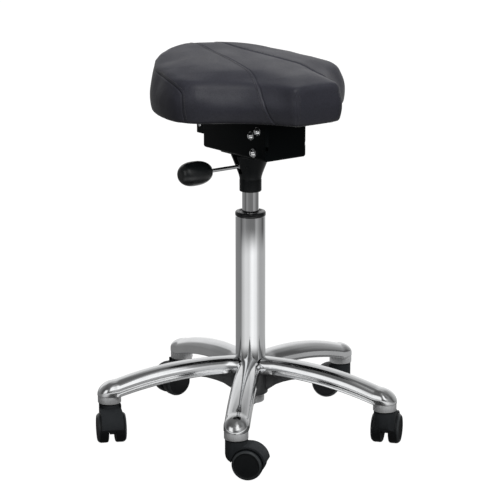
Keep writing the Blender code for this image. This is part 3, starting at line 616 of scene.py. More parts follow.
def finish_base(base):
    """Polish on what shows from above, satin on the turned sockets, raw casting on the ribs and underside."""
    for face in base.data.polygons:
        centre, normal = face.center, face.normal
        reach = centre.xy.length
        at_socket = min((centre.xy - s.xy).length for s in SOCKETS) < SOCKET_RADIUS + 0.2 * MM
        if at_socket and centre.z < SOCKET_TOP + 0.3 * MM:
            face.material_index = 1
        elif normal.z < -0.5 or centre.z < arm_underside(reach) - 0.4 * MM:
            face.material_index = 2
        elif abs(normal.z) < 0.5 and reach < 28 * MM:
            face.material_index = 2
        else:
            face.material_index = 0
    base.data.shade_smooth()
    base.data.set_sharp_from_angle(angle=math.radians(32))


place(build_base(), "base", "polished_aluminium", "star_base")


# ---------------------------------------------------------------- gas lift
def build_lift():
    foot = mm([
        (6.3, 49.5), (22.4, 49.5), (23.0, 50.3), (23.4, 74), (24.9, 121), (25, 124), (25, 366.3),
        (24.4, 367), (23.3, 367), (23.3, 340), (23.3, 123), (21.3, 52.5), (6.3, 52.5),
    ])
    tube = make_object("stand_tube_chromed", lathe(foot, 128), CHROME, SATIN)
    for face in tube.data.polygons:
        face.material_index = int(face.center.z < 75 * MM)
    place(tube, "base", "chrome", "stand_tube")

    cap = mm([
        (14.3, 352), (23, 352), (23, 367.3), (25.2, 367.3), (25.4, 369), (25.3, 372.5), (24.2, 374.2),
        (20.5, 374.8), (18.5, 374.1), (17.5, 373), (14.3, 372.6),
    ])
    cap = filleted(cap, 0.6 * MM, 3, closed=True)
    place(make_object("tube_cap_ring", lathe(cap, 96), GLOSS), "base", "black_plastic", "tube_cap")

    gas = mm([
        (5.3, 100), (12.5, 100), (14, 101.5), (14, 409), (13.1, 439), (12.1, 440), (3.3, 440), (3.3, 428),
        (12.1, 424), (12.1, 106), (5.3, 106),
    ])
    cylinder = make_object("gas_cylinder_chromed", lathe(gas, 96), CHROME)
    place(cylinder, "lift", "chrome", "gas_cylinder")


build_lift()


# ---------------------------------------------------------------- tilt mechanism
PIVOT = joint_place("seat_tilt")
FULCRUM = joint_place("lever_pull")


def build_column_socket():
    outer = [
        (17.3, 408), (18.2, 409.2), (18.25, 427), (18.0, 428), (18.0, 429), (18.6, 432.5), (20.4, 438.5),
        (23, 445.5), (26, 453), (29, 461), (31.6, 467), (32.4, 470.2),
    ]
    inner = [(22, 470.2), (20, 458), (17, 442), (13.6, 440), (14.3, 408)]
    profile = filleted(mm(outer + inner), 0.5 * MM, 2, closed=True)
    socket = make_object("column_socket_casting", lathe(profile, 128), SOCKET_PLASTIC)
    slot = mm([(-4.4, 441), (-2.2, 438), (5, 438), (7.5, 441), (7.5, 480), (-4.4, 480)])
    combine(socket, prism(slot, "X", -40 * MM, -12 * MM))
    combine(socket, cross_peg(2.2 * MM, 15.6 * MM, FULCRUM, 24))
    bevelled(socket, 0.5 * MM, 50, 2)
    place(socket, "lift", "black_plastic", "column_socket")
    pin = make_object("lever_pin_hidden", cross_peg(1.9 * MM, 15.3 * MM, FULCRUM, 24), ZINC)
    place(pin, "lift", "zinc_steel", "lever_pin")


def rounded_rectangle(half_x, low_y, high_y, radius, steps=8):
    right, left, low, high = half_x - radius, radius - half_x, low_y + radius, high_y - radius
    return (
        arc((right, high), radius, 0, 90, steps)
        + arc((left, high), radius, 90, 180, steps)
        + arc((left, low), radius, 180, 270, steps)
        + arc((right, low), radius, 270, 360, steps)
    )


HOUSING_LOW, HOUSING_HIGH = box("tilt_housing")


def housing_loop(inset_by):
    """The housing's plan, moved inwards: rounded at the front corners, nearly square at the rear."""
    half, front, rear = HOUSING_HIGH.x - inset_by, HOUSING_LOW.y + inset_by, HOUSING_HIGH.y - inset_by
    bend = max(1 * MM, 5.5 * MM - inset_by)
    edge = 1 * MM
    return (
        arc((half - edge, rear - edge), edge, 0, 90, 4)
        + arc((edge - half, rear - edge), edge, 90, 180, 4)
        + arc((bend - half, front + bend), bend, 180, 270, 10)
        + arc((half - bend, front + bend), bend, 270, 360, 10)
    )


def build_housing():
    wall, low, top = 2.5 * MM, HOUSING_LOW.z, HOUSING_HIGH.z
    bend = 4.2 * MM
    angles = [math.pi / 2 * i / 8 for i in range(9)]
    levels = [(bend * (1 - math.sin(a)), low + bend * (1 - math.cos(a))) for a in angles]
    levels += [(0, top), (wall, top), (wall, low + wall + 2 * MM), (wall + 0.6 * MM, low + wall + 0.6 * MM)]
    levels.append((wall + 2 * MM, low + wall))
    bm = bmesh.new()
    skin(bm, [[bm.verts.new((x, y, z)) for x, y in housing_loop(inset_by)] for inset_by, z in levels])
    housing = make_object("tilt_housing_box", bm, POWDER)
    wide, above = HOUSING_HIGH.x + 5 * MM, top + 5 * MM
    slope = [(-30 * MM, above), (-30 * MM, top), (80 * MM, top - 9.1 * MM), (80 * MM, above)]
    combine(housing, prism(slope, "X", -wide, wide))
    narrow = HOUSING_HIGH.x - wall
    doorway = [(-narrow, 483 * MM), (narrow, 483 * MM), (narrow, above), (-narrow, above)]
    combine(housing, prism(doorway, "Y", 60 * MM, 80 * MM))
    for side in (-1, 1):
        x, y, foot, head = side * HOUSING_HIGH.x, HOUSING_LOW.y, 493 * MM, 499.5 * MM
        notch = [(y - MM, foot), (y + 4 * MM, foot), (y + 4 * MM, head), (y - MM, head)]
        combine(housing, prism(filleted(notch, 1.2 * MM, closed=True), "X", x - 4 * MM, x + 4 * MM))
    combine(housing, peg(14 * MM, 460 * MM, 480 * MM))
    bevelled(housing, 0.35 * MM, 50, 2)
    place(housing, "lift", "black_painted_steel", "tilt_housing")

    low_z, high_z = box("flange_plate")[0].z, box("flange_plate")[1].z
    outline = rounded_rectangle(30 * MM, -46 * MM, 46 * MM, 8 * MM)
    plate = make_object("flange_plate_bevelled", prism(outline, "Z", low_z, high_z), POWDER)
    combine(plate, peg(14 * MM, 460 * MM, 480 * MM))
    bevelled(plate, 0.5 * MM)
    place(plate, "lift", "black_painted_steel", "flange_plate")


def along_x(bm, location, sign=1):
    """Turns a piece made about Z so that its +Z end points along X, towards the given side."""
    return moved(bm, location, sign * math.pi / 2, "Y")


def build_bolts():
    """Domed heads and cap nuts, each on a thin washer face."""
    crown = [(0, 6.6), (2.4, 6.2), (4.3, 5.1), (5.6, 3.5), (6.2, 1.7)]
    crown = [(p.x * MM, p.y * MM) for p in spline([(r, h, 0) for r, h in crown], 4)]
    head = crown + mm([(6.3, 1.1), (7.0, 0.9), (7.1, 0.2), (6.9, 0)])
    for name in ("pivot", "stop_rear", "stop_front"):
        low, high = box(f"{name}_bolt")
        y, z = (low.y + high.y) / 2, (low.z + high.z) / 2
        reach = HOUSING_HIGH.x + 0.3 * MM
        shank = [(4 * MM, 0), (4 * MM, -2 * reach - 4 * MM), (0, -2 * reach - 4 * MM)]
        bolt = along_x(lathe(head + shank, 48), (-reach, y, z), -1)
        place(make_object(f"{name}_bolt_domed", bolt, CHROME), "lift", "chrome", f"{name}_bolt")
        nut = along_x(lathe(head + mm([(4.1, 0), (4.1, 4.5), (0, 4.5)]), 48), (reach, y, z), 1)
        place(make_object(f"{name}_nut_domed", nut, CHROME), "lift", "chrome", f"{name}_nut")


def build_carrier():
    """The channel under the seat, with the seat's side screw."""
    low, high = box("seat_carrier")
    y, z = PIVOT.y, PIVOT.z
    side = [(low.y, high.z), (low.y, 508 * MM), (y - 11 * MM, 494 * MM)]
    side += arc((y, z), 7 * MM, 180, 360, 16)
    side += [(y + 13 * MM, 496 * MM), (high.y, 496 * MM), (high.y, high.z)]
    side = filleted(side, 1.5 * MM, 3, closed=True)
    carrier = make_object("seat_carrier_channel", prism(side, "X", low.x, high.x), POWDER)
    inner = high.x - 2.5 * MM
    hollow = [(-inner, 460 * MM), (inner, 460 * MM), (inner, high.z - 3 * MM), (-inner, high.z - 3 * MM)]
    combine(carrier, prism(hollow, "Y", -120 * MM, 120 * MM))
    for y_hole, z_hole, radius in ((y, z, 5.6), (-55.3 * MM, 512.6 * MM, 6.5), (-72 * MM, 522.1 * MM, 7.9)):
        combine(carrier, along_x(peg(radius * MM, -60 * MM, 60 * MM, 36), (0, y_hole, z_hole)))
    bevelled(carrier, 0.5 * MM, 50, 2)
    place(carrier, "seat", "black_painted_steel", "seat_carrier")

    low, high = box("carrier_screw")
    y, z = (low.y + high.y) / 2, (low.z + high.z) / 2
    head = [(0, 1.6), (1.5, 1.6), (1.6, 3.2), (2.6, 3.1), (3.7, 2.2), (4.1, 0.9), (4.1, 0)]
    head = filleted(mm(head + [(2, 0), (2, -8), (0, -8)]), 0.3 * MM, 3)
    screw = make_object("carrier_screw_round", along_x(lathe(head, 40), (-38.8 * MM, y, z), -1), CHROME)
    place(screw, "seat", "zinc_steel", "carrier_screw")


def build_springs():
    """Coil springs, wound in the place of the CAD springs."""
    wire, turns, steps = 1.7 * MM, 6.5, 28
    for name in ("tilt_spring_right", "tilt_spring_left"):
        low, high = box(name)
        coil = (high.x - low.x) / 2 - wire
        centre = Vector(((low.x + high.x) / 2, (low.y + high.y) / 2, 0))
        bottom, top = low.z + wire, high.z - wire
        path = []
        for i in range(int(turns * steps) + 1):
            turn = math.tau * i / steps
            share = min(1.0, max(0.0, (i / steps - 0.9) / (turns - 1.8)))
            rise = bottom + (top - bottom) * share
            path.append(centre + Vector((coil * math.cos(turn), coil * math.sin(turn), rise)))
        bm = bmesh.new()
        tube_along(bm, path, wire, 10)
        spring = make_object(f"{name}_coil", bm, ZINC)
        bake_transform(spring)
        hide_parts(name)


# Knob outline from the outer end: share of the length, radius in millimetres
KNOB_PROFILE = (
    (0.0, 5.5), (0.008, 8.0), (0.035, 11.4), (0.085, 14.4), (0.155, 17.0), (0.25, 18.9), (0.36, 19.8),
    (0.5, 19.9), (0.62, 19.5), (0.73, 18.3), (0.83, 16.4), (0.91, 13.8), (0.965, 11.0), (0.992, 8.2),
    (1.0, 5.5),
)


def build_lever():
    """The lever rod and its egg-shaped knob, fuller at the outer end."""
    low, high = box("lever_knob")
    outer, inner, height = low.x, high.x, FULCRUM.z
    rod = lathe(mm([(0, 0), (3.2, 0), (3.2, 62), (3.0, 63), (2.8, 72), (0, 72)]), 48)
    rod = make_object("lever_rod_round", along_x(rod, FULCRUM, -1), CHROME)
    finger = filleted(mm([(-8, -3.4), (22.5, -3.4), (22.5, 3.4), (-8, 3.4)]), 1 * MM, closed=True)
    combine(rod, moved(prism(finger, "Y", -3.6 * MM, 3.6 * MM), FULCRUM), "UNION")
    combine(rod, cross_peg(2.1 * MM, 20 * MM, FULCRUM, 24))
    rod.data.shade_smooth()
    rod.data.set_sharp_from_angle(angle=math.radians(35))
    place(rod, "lever", "chrome", "lever_rod")

    inner += MM
    length = inner - outer
    profile = [(length, 0.0)] + [(length - t * length, r * MM) for t, r in KNOB_PROFILE]
    profile = [(p.y, p.x) for p in spline([(along, r, 0) for along, r in profile], 4)]
    profile += mm([(3.5, 0.8), (3.5, 20), (0, 20)])
    knob = make_object("lever_knob_egg", along_x(lathe(profile, 72), (inner, 0, height), -1), KNOB)
    place(knob, "lever", "knob_plastic", "lever_knob")


build_column_socket()
build_housing()
build_bolts()
build_carrier()
build_springs()
build_lever()


# ---------------------------------------------------------------- casters
TRAIL = 21.3 * MM
WHEEL_RADIUS = 25 * MM
HOOD_RADIUS = 29.6 * MM
NECK_RADIUS = 17.8 * MM
NECK_TOP = 60.5 * MM


def build_hood():
    """Caster body about its stem axis, trailing +X: neck, hood over both wheels and the rib between them."""
    axle = (TRAIL, WHEEL_RADIUS)
    hub = (TRAIL, 0, WHEEL_RADIUS)
    neck = NECK_RADIUS
    side = [(-neck, NECK_TOP)]
    side += arc((14 * MM - neck, 42 * MM), 14 * MM, 180, 255, 14)
    side += [(4 * MM, 21 * MM), (axle[0], 19 * MM), (44 * MM, 20 * MM)]
    side += arc(axle, HOOD_RADIUS, 8, 96, 40)
    side += [(neck, NECK_TOP)]
    hood = make_object("caster_hood_pattern", prism(side, "Y", -30 * MM, 30 * MM), NYLON)
    footprint = arc((0, 0), neck, 90, 270, 48) + [(55 * MM, -neck), (55 * MM, neck)]
    combine(hood, prism(footprint, "Z", 0, 80 * MM), "INTERSECT")
    beyond = arc((0, 0), neck, -80, 80, 40) + [(60 * MM, neck + MM), (60 * MM, -neck - MM)]
    combine(hood, prism(beyond, "Z", WHEEL_RADIUS + HOOD_RADIUS - 0.1 * MM, 80 * MM))
    for sign in (-1, 1):
        well = moved(peg(26.2 * MM, 4.7 * MM, 40 * MM, 96), turn=sign * math.pi / 2, axis="X")
        combine(hood, moved(well, hub))
    combine(hood, cross_peg(4.1 * MM, 10 * MM, hub, 40))
    combine(hood, peg(5.9 * MM, 45.7 * MM, 70 * MM))
    bevelled(hood, 0.7 * MM, 40, 3)
    return hood


def build_wheel():
    """A wheel about Z, hub face low and closed face high: flat disc, bevelled rim with a painted highlight,
    rounded tread.
    """
    face = mm([
        (0, 22.3), (16, 22.3), (19.6, 22.35), (20.1, 22.7), (20.4, 23.3), (20.9, 23.5), (21.6, 23.35),
        (23.4, 21.6), (24.5, 19.9), (25, 17.6), (25, 9.2), (24.6, 7.2), (23.4, 6.0), (22.3, 5.7),
        (19, 5.6), (4.3, 5.6), (4.3, 19), (0, 19),
    ])
    profile = filleted(face, 0.7 * MM, 3)
    return make_object("caster_wheel_pattern", lathe(profile, 120), TREAD)


def build_casters():
    hood, wheel = build_hood(), build_wheel()
    for k in range(ARM_COUNT):
        label = f"caster_{k + 1}"
        axle = joint_place(f"{label}_left_roll")
        stem = SOCKETS[k]
        heading = math.atan2(axle.y - stem.y, axle.x - stem.x)
        turn = Matrix.Rotation(heading, 4, "Z")
        piece = twin(hood, f"{label}_hood_moulded", (stem.x, stem.y, 0), turn)
        place(piece, label, "black_plastic", f"{label}_hood")
        for side, sign in (("left", -1), ("right", 1)):
            tipped = turn @ Matrix.Rotation(sign * math.pi / 2, 4, "X")
            piece = twin(wheel, f"{label}_wheel_{side}_tyre", axle, tipped)
            place(piece, f"{label}_{side}", "caster_wheel_plastic", f"{label}_wheel_{side}")
    for pattern in (hood, wheel):
        bpy.data.objects.remove(pattern, do_unlink=True)


build_casters()


# ---------------------------------------------------------------- seat
SEAT_OUTLINE = (
    (0, 149), (40, 146.5), (80, 136), (113, 117), (138, 88), (156, 52), (168, 12), (170.5, -25), (155, -56),
    (117, -83), (85, -110), (66, -138), (53, -163), (47, -175), (22, -178), (0, -178.5),
)
SEAT_BOTTOM = 541.3 * MM
SEAT_FRONT, SEAT_REAR = -178 * MM, 149 * MM
# How far the middle stands up, and how far in the blank is drawn before it is stuffed
CROWN = 2.5 * MM
MARGIN = 2.5 * MM
# How far the side bulges out at each height over the bottom, in millimetres
SIDE_BULGE = ((1.6, 16), (2.6, 27), (2.2, 36), (0.6, 46))


def seat_outline(per_span):
    left = mm(SEAT_OUTLINE)
    right = [(-x, y) for x, y in reversed(left[1:-1])]
    return spline(left + right, per_span, closed=True)


def seat_top(x, y):
    """Height of the top: it falls towards the nose and sides, with a fuller rim at the rear and right."""
    along = (y - SEAT_FRONT) / (SEAT_REAR - SEAT_FRONT)
    rear = 4.2 * MM * ease(70 * MM, 145 * MM, y)
    right = 3.5 * MM * ease(20 * MM, -110 * MM, x) * ease(-60 * MM, 40 * MM, y)
    middle = 3.4 * MM * (1 - ease(10 * MM, 95 * MM, abs(x + 12 * MM))) * ease(40 * MM, 140 * MM, y)
    return (607.5 + 28.5 * along) * MM - 9.5 * MM * (abs(x) / (165 * MM)) ** 2 + (rear + right + middle)


def inset(points, distances):
    made = []
    for i, here in enumerate(points):
        ahead = (points[(i + 1) % len(points)] - points[i - 1]).normalized()
        made.append(here + Vector((ahead.y, -ahead.x)) * distances[i])
    return made


def cushion_blank():
    """The cushion before it is stuffed: the outline less a margin, softer edged away from the nose."""
    outline = seat_outline(8)
    outline = inset(outline, [MARGIN] * len(outline))
    bm = bmesh.new()

    def loop(distances, height):
        points = inset(outline, distances)
        return [bm.verts.new((p.x, p.y, height(p, i))) for i, p in enumerate(points)]

    def flat(distance, height):
        return loop([distance] * len(outline), lambda p, i: SEAT_BOTTOM + height)

    board = 15 * MM - MARGIN
    rings = [flat(board, 10.3 * MM), flat(board, 0)]
    for i in range(7):
        a = math.pi / 2 * i / 6
        rings.append(flat(5 * MM * (1 - math.sin(a)), 6 * MM * (1 - math.cos(a))))
    rings += [flat(-out, height) for out, height in mm(SIDE_BULGE)]
    soft = [5 * MM + 9 * MM * ease(-150 * MM, -60 * MM, p.y) for p in outline]
    lean = [1 * MM + 2.5 * MM * ease(-170 * MM, -120 * MM, p.y) for p in outline]
    for i in range(11):
        a = math.pi / 2 * i / 10
        away = [lean[k] + edge * (1 - math.cos(a)) for k, edge in enumerate(soft)]
        rings.append(loop(away, lambda p, k: seat_top(p.x, p.y) - soft[k] * (1 - math.sin(a)) - MARGIN))
    for scale in (0.78, 0.62, 0.45, 0.28, 0.12):
        swell = CROWN * (1 - scale**2) ** 1.5
        points = [p * scale for p in outline]
        rings.append([bm.verts.new((p.x, p.y, seat_top(p.x, p.y) - MARGIN + swell)) for p in points])
    skin(bm, rings)
    return bm


def coordinates(obj):
    values = np.empty(len(obj.data.vertices) * 3, np.float32)
    obj.data.vertices.foreach_get("co", values)
    return values.reshape(-1, 3).astype(float)


def set_coordinates(obj, values):
    obj.data.vertices.foreach_set("co", np.asarray(values, np.float32).ravel())
    obj.data.update()


def stuff(obj, cap, frames=20):
    """Blows the cover up like a stuffed cushion and caps how far any point moves."""
    rest = coordinates(obj)
    held = obj.vertex_groups.new(name="held")
    held.add([i for i, p in enumerate(rest) if p[2] < SEAT_BOTTOM + 12 * MM], 1.0, "REPLACE")
    cloth = obj.modifiers.new("cloth", "CLOTH")
    settings = cloth.settings
    settings.quality = 6
    settings.mass = 0.3
    settings.tension_stiffness = settings.compression_stiffness = 20
    settings.bending_stiffness = 5
    settings.use_pressure = True
    settings.uniform_pressure_force = 4
    settings.effector_weights.gravity = 0
    settings.vertex_group_mass = "held"
    cloth.collision_settings.use_collision = False
    cloth.point_cache.frame_start, cloth.point_cache.frame_end = 1, frames
    for step in range(1, frames + 1):
        bpy.context.scene.frame_set(step)
    deps = bpy.context.evaluated_depsgraph_get()
    shaped = obj.evaluated_get(deps)
    values = np.empty(len(rest) * 3, np.float32)
    shaped.data.vertices.foreach_get("co", values)
    move = values.reshape(-1, 3).astype(float) - rest
    obj.modifiers.remove(cloth)
    obj.vertex_groups.clear()
    bpy.context.scene.frame_set(1)
    far = np.maximum(np.linalg.norm(move, axis=1, keepdims=True), 1e-9)
    move = evened(obj, move * np.minimum(1.0, cap / far), 24)
    set_coordinates(obj, rest + move)


def evened(obj, field, rounds):
    """Spreads a field of movements along the mesh's edges, which takes the creases out of it."""
    ends = np.empty(len(obj.data.edges) * 2, np.int32)
    obj.data.edges.foreach_get("vertices", ends)
    ends = ends.reshape(-1, 2)
    counts = np.bincount(ends.ravel(), minlength=len(field))[:, None]
    for _ in range(rounds):
        total = np.zeros_like(field)
        for a, b in ((0, 1), (1, 0)):
            for axis in range(3):
                total[:, axis] += np.bincount(ends[:, a], field[ends[:, b], axis], len(field))
        field = 0.5 * field + 0.5 * total / np.maximum(counts, 1)
    return field


def relaxed(obj, rounds):
    """Evens out the mesh without moving its edges."""
    bm = bmesh.new()
    bm.from_mesh(obj.data)
    for _ in range(rounds):
        bmesh.ops.smooth_vert(
            bm, verts=bm.verts, factor=0.5, use_axis_x=True, use_axis_y=True, use_axis_z=True
        )
    bm.to_mesh(obj.data)
    bm.free()


def subdivided(obj, levels):
    change = obj.modifiers.new("fine", "SUBSURF")
    change.levels = change.render_levels = levels
    bake(obj)


def tree_of(obj):
    bm = bmesh.new()
    bm.from_mesh(obj.data)
    tree = BVHTree.FromBMesh(bm)
    bm.free()
    return tree


def laid_on(tree, points, step=0.6 * MM):
    """A seam line through the points, laid on the surface at even steps, with the surface's normals."""
    rough = [tree.find_nearest(Vector(p) * MM)[0] for p in spline(points, 40)]
    lengths = np.cumsum([0.0] + [(b - a).length for a, b in zip(rough, rough[1:])])
    wanted = np.arange(0, lengths[-1], step)
    columns = [np.interp(wanted, lengths, [p[i] for p in rough]) for i in range(3)]
    line, normals = [], []
    for p in zip(*columns):
        spot, normal, _, _ = tree.find_nearest(Vector(p))
        line.append(spot)
        normals.append(normal)
    return line, normals


def sew(obj, seams):
    """Sinks each seam into the cover: a narrow fold, a soft hollow and one panel lapped over the other."""
    values = coordinates(obj)
    shift = np.zeros_like(values)
    for line, normals, lap, depth in seams:
        finder = KDTree(len(line))
        for i, p in enumerate(line):
            finder.insert(p, i)
        finder.balance()
        for i, p in enumerate(values):
            spot, index, gap = finder.find(p)
            if gap > 28 * MM:
                continue
            ahead = line[min(index + 1, len(line) - 1)] - line[max(index - 1, 0)]
            side = ahead.cross(Vector(p) - spot).dot(normals[index])
            fold = math.exp(-((gap / (1.25 * MM)) ** 2))
            hollow = math.exp(-((gap / (9 * MM)) ** 2))
            raised = 0.55 * MM * math.exp(-gap / (7 * MM)) if side * lap > 0 else 0.0
            move = raised - depth * fold - 0.45 * depth * hollow
            shift[i] += np.array(normals[index]) * move
    set_coordinates(obj, values + shift)


def stitches(name, tree, line, normals, aside, pitch=3.6 * MM, long=2.7 * MM, radius=0.33 * MM):
    """A row of stitches beside a seam."""
    bm = bmesh.new()
    span = pitch / (line[1] - line[0]).length
    half = long / 2
    for k in range(1, int((len(line) - 2) / span)):
        index = int(k * span)
        ahead = (line[index + 1] - line[index - 1]).normalized()
        across = normals[index].cross(ahead).normalized()
        path = []
        for t in (-1.0, -0.8, -0.4, 0.0, 0.4, 0.8, 1.0):
            spot, normal, _, _ = tree.find_nearest(line[index] + across * aside + ahead * half * t)
            lift = radius * (0.75 - 1.1 * abs(t) ** 3)
            path.append(spot + normal * lift)
        tube_along(bm, path, radius, 6)
    row = make_object(name, bm, THREAD)
    return place(row, "seat", "black_leather")


def mirrored(points):
    return [(-x, y, z) for x, y, z in points]


# Seams on the sitter's left, in millimetres: the long one over the top, the rear band and the nose corner
LONG_SEAM = (
    (20, 147, 627), (21, 138, 632), (22, 120, 635), (25, 90, 634), (31, 50, 631), (38, 5, 627),
    (47, -42, 622), (56, -78, 616), (70, -108, 606), (75, -120, 592), (72, -127, 575), (68, -134, 558),
    (63, -140, 544),
)
BAND_SEAM = (
    (163, -40, 544), (164, -38, 560), (165, -36, 580), (165, -32, 592), (166, -18, 600), (164, 8, 607),
    (158, 38, 611), (146, 70, 613), (128, 98, 616), (104, 120, 620), (70, 138, 624), (35, 146, 626),
    (0, 149, 627),
)
NOSE_SEAM = ((45.5, -176, 543), (45.5, -176, 560), (45.5, -176, 580), (45.5, -175, 592), (44, -172, 599))


def build_seat():
    blank = make_object("seat_cushion_upholstered", cushion_blank(), LEATHER)
    remesh = blank.modifiers.new("remesh", "REMESH")
    remesh.mode = "VOXEL"
    remesh.voxel_size = 5 * MM
    bake(blank)
    relaxed(blank, 3)
    stuff(blank, 6 * MM)
    subdivided(blank, 2)
    tree = tree_of(blank)
    seams = []
    for points, lap, depth in ((LONG_SEAM, 1, 1.5 * MM), (BAND_SEAM, 1, 1.1 * MM), (NOSE_SEAM, 1, 0.9 * MM)):
        for side, path in ((1, points), (-1, mirrored(points))):
            line, normals = laid_on(tree, path)
            seams.append((line, normals, lap * side, depth))
    sew(blank, seams)
    tree = tree_of(blank)
    labels = ("long_seam", "band_seam", "nose_seam")
    for number, (line, normals, side, _) in enumerate(seams):
        label = labels[number // 2] + ("_left" if number % 2 == 0 else "_right")
        stitches(f"stitches_{label}", tree, line, normals, side * 4.5 * MM)
    blank.data.materials.clear()
    blank.data.materials.append(LEATHER)
    blank.data.shade_smooth()
    place(blank, "seat", "black_leather", "seat_cushion")


build_seat()


# ---------------------------------------------------------------- studio
def build_world():
    """White to the camera, soft panels with darker gaps for the metal to show, and even light otherwise."""
    world = bpy.data.worlds.new("studio")
    bpy.context.scene.world = world
    world.use_nodes = True
    nodes = Nodes(world.node_tree)
    direction = nodes.add("ShaderNodeTexCoord").outputs["Generated"]
    up = nodes.dot(direction, (0, 0, 1))
    share = nodes.round_the_stool(direction)
    shown = nodes.ramp(share, FAR_PANELS)
    for panels, low, high in LAYERS:
        shown = nodes.blend(nodes.ranged(up, low, high, 0, 1, True), shown, nodes.ramp(share, panels))
    rays = nodes.add("ShaderNodeLightPath")
    even = nodes.ranged(up, -0.2, 1.0, AMBIENT_LOW, AMBIENT_HIGH)
    even = nodes.math("MULTIPLY", even, nodes.ramp(share, AMBIENT_ROUND))
    level = nodes.blend(rays.outputs["Is Glossy Ray"], even, shown)
    background = nodes.tree.nodes["Background"]
    nodes.feed(background.inputs[0], nodes.blend(rays.outputs["Is Camera Ray"], level, BACKDROP))
    background.inputs[1].default_value = 1.0


def build_floor():
    """A white floor. Polished metal sees painted light on it: painted shade near the stool and painted lit panels
    further out.
    """
    bm = bmesh.new()
    bmesh.ops.create_grid(bm, x_segments=1, y_segments=1, size=30)
    look = Look("white_floor")
    tone = look.mix(look.noise(3, 3), (0.09, 0.09, 0.09), (0.11, 0.11, 0.11))
    seen = look.add("ShaderNodeLightPath")
    glow = look.blend(seen.outputs["Is Camera Ray"], FLOOR_GLOW, FLOOR_SHOWN)
    look.set(Base_Color=tone, Roughness=0.85, Emission_Color=(1, 1, 1), Emission_Strength=glow)
    share = look.round_the_stool(look.place)
    reach = look.length(look.place)
    level = look.ramp(share, PAINTED_SHADE_PANELS)
    for panels, low, high in RINGS:
        level = look.blend(look.ranged(reach, low, high, 0, 1, True), level, look.ramp(share, panels))
    # Painted light for polished metal: a painted shadow of the stool near it and painted lit panels beyond
    painted_floor_light = look.add("ShaderNodeEmission", {"Color": level})
    chosen = look.add("ShaderNodeMixShader", {0: seen.outputs["Is Glossy Ray"]})
    look.feed(chosen.inputs[1], look.shader.outputs[0])
    look.feed(chosen.inputs[2], painted_floor_light.outputs[0])
    look.feed(look.tree.nodes["Material Output"].inputs["Surface"], chosen.outputs[0])
    floor = make_object("studio_floor", bm, look.material, smooth=False)
    floor.location.z = -0.5 * MM


# Camera place, in metres and degrees round the stool
CAMERA_AZIMUTH = -38.2
CAMERA_DISTANCE = 3.455
CAMERA_HEIGHT = 1.159
CAMERA_DROP = 13.84
CAMERA_LENS = 155.2
# What polished metal shows. Each stop is a hundredth of a turn and a level in hundredths: 0 and 100 are
# behind the stool, 50 is at the camera
# Painted shade: the stool's shadow on the floor near it, as polished metal sees it
PAINTED_SHADE_PANELS = (
    (0, 75), (4, 60), (8, 20), (20, 14), (30, 6), (36, 14), (43, 5), (50, 4), (54, 5), (60, 12), (66, 10),
    (76, 5), (80, 20), (88, 42), (95, 65), (100, 75),
)
FLOOR_PANELS = (
    (0, 100), (5, 70), (9, 24), (28, 22), (34, 60), (40, 78), (47, 76), (50, 95), (53, 110), (61, 95),
    (67, 55), (71, 42), (88, 45), (94, 90), (100, 100),
)
FAR_PANELS = (
    (0, 105), (5, 60), (9, 30), (17, 22), (25, 20), (30, 10), (34, 22), (38, 26), (43, 19), (50, 17),
    (58, 17), (62, 36), (72, 22), (79, 10), (88, 42), (94, 95), (100, 105),
)
WALL_PANELS = (
    (0, 85), (9, 85), (13, 30), (20, 20), (27, 8), (32, 15), (35, 110), (41, 110), (44, 16), (49, 12),
    (53, 30), (54.5, 40), (57.5, 60), (61, 35), (70, 22), (77, 10), (82, 30), (88, 50), (95, 85), (100, 85),
)
UPPER_PANELS = (
    (0, 85), (9, 70), (13, 25), (27, 8), (32, 15), (35, 110), (41, 110), (44, 16), (47.5, 25), (49.5, 110),
    (54, 130), (57.5, 70), (61, 40), (65, 30), (77, 10), (88, 40), (100, 85),
)
HIGH_PANELS = (
    (0, 60), (5, 45), (10, 16), (30, 10), (38, 12), (47, 20), (49, 120), (53.5, 120), (56, 30), (60, 15),
    (70, 25), (78, 14), (88, 25), (95, 50), (100, 60),
)
CEILING = (
    (0, 14), (40, 14), (45, 30), (50, 45), (55, 20), (100, 14),
)
# Where one set of panels gives way to the next: by height of the ray, and by metres from the stool's middle
LAYERS = (
    (WALL_PANELS, -0.02, 0.08), (UPPER_PANELS, 0.34, 0.44), (HIGH_PANELS, 0.56, 0.72), (CEILING, 0.86, 0.96),
)
RINGS = ((FLOOR_PANELS, 0.41, 0.5), (FAR_PANELS, 1.2, 1.5))
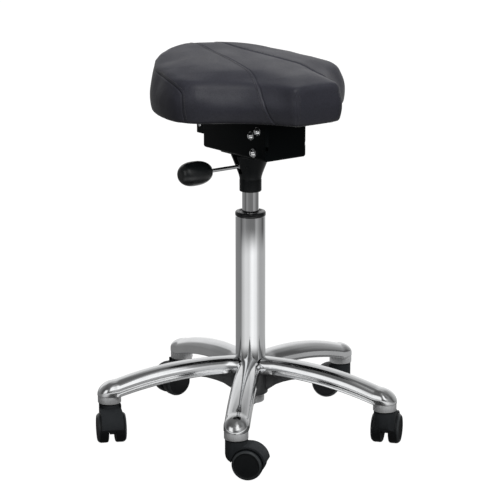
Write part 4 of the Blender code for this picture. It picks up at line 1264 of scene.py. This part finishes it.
# Even light round the stool, and its strength low down and overhead
AMBIENT_ROUND = (
    (0, 90), (12, 70), (22, 30), (36, 30), (44, 80), (52, 130), (62, 130), (72, 100), (85, 80), (100, 90),
)
AMBIENT_LOW = 0.08
AMBIENT_HIGH = 0.4
BACKDROP = 1.1
# Floor's own light: what it throws on the stool, and what the camera sees
FLOOR_GLOW = 0.05
FLOOR_SHOWN = 1.0


def area_light(name, azimuth, elevation, distance, size, power, receivers=None):
    """A square soft light aimed at the stool's middle, shining on everything or on the receivers alone."""
    a, e = math.radians(azimuth), math.radians(elevation)
    back = Vector((math.sin(a) * math.cos(e), -math.cos(a) * math.cos(e), math.sin(e)))
    light = bpy.data.lights.new(name, "AREA")
    light.shape = "SQUARE"
    light.size = size
    light.energy = power
    obj = bpy.data.objects.new(name, light)
    COLLECTION.objects.link(obj)
    obj.location = COLUMN + Vector((0, 0, 0.35)) + back * distance
    obj.rotation_mode = "QUATERNION"
    obj.rotation_quaternion = (-back).to_track_quat("-Z", "Y")
    obj.visible_glossy = receivers is not None
    if receivers:
        obj.light_linking.receiver_collection = receivers


def build_studio():
    build_world()
    build_floor()
    area_light("key_overhead", 5, 74, 2.2, 1.6, 11)
    area_light("fill_front", -12, 52, 3.0, 1.6, 24)
    cushion = bpy.data.collections.new("cushion_alone")
    cushion.objects.link(bpy.data.objects["seat_cushion_upholstered"])
    area_light("cushion_softbox", -28, 56, 2.2, 1.1, 11, cushion)

    camera = bpy.data.cameras.new("camera")
    camera.lens = CAMERA_LENS
    camera.sensor_width = 36
    camera.shift_x = -0.001
    camera.clip_end = 100
    obj = bpy.data.objects.new("camera", camera)
    COLLECTION.objects.link(obj)
    a, drop = math.radians(CAMERA_AZIMUTH), math.radians(CAMERA_DROP)
    away = Vector((math.sin(a), -math.cos(a), 0)) * CAMERA_DISTANCE
    obj.location = COLUMN + away + Vector((0, 0, CAMERA_HEIGHT))
    obj.rotation_euler = (math.pi / 2 - drop, 0, a)
    bpy.context.scene.camera = obj
    bpy.context.scene.view_settings.view_transform = "Standard"


build_studio()
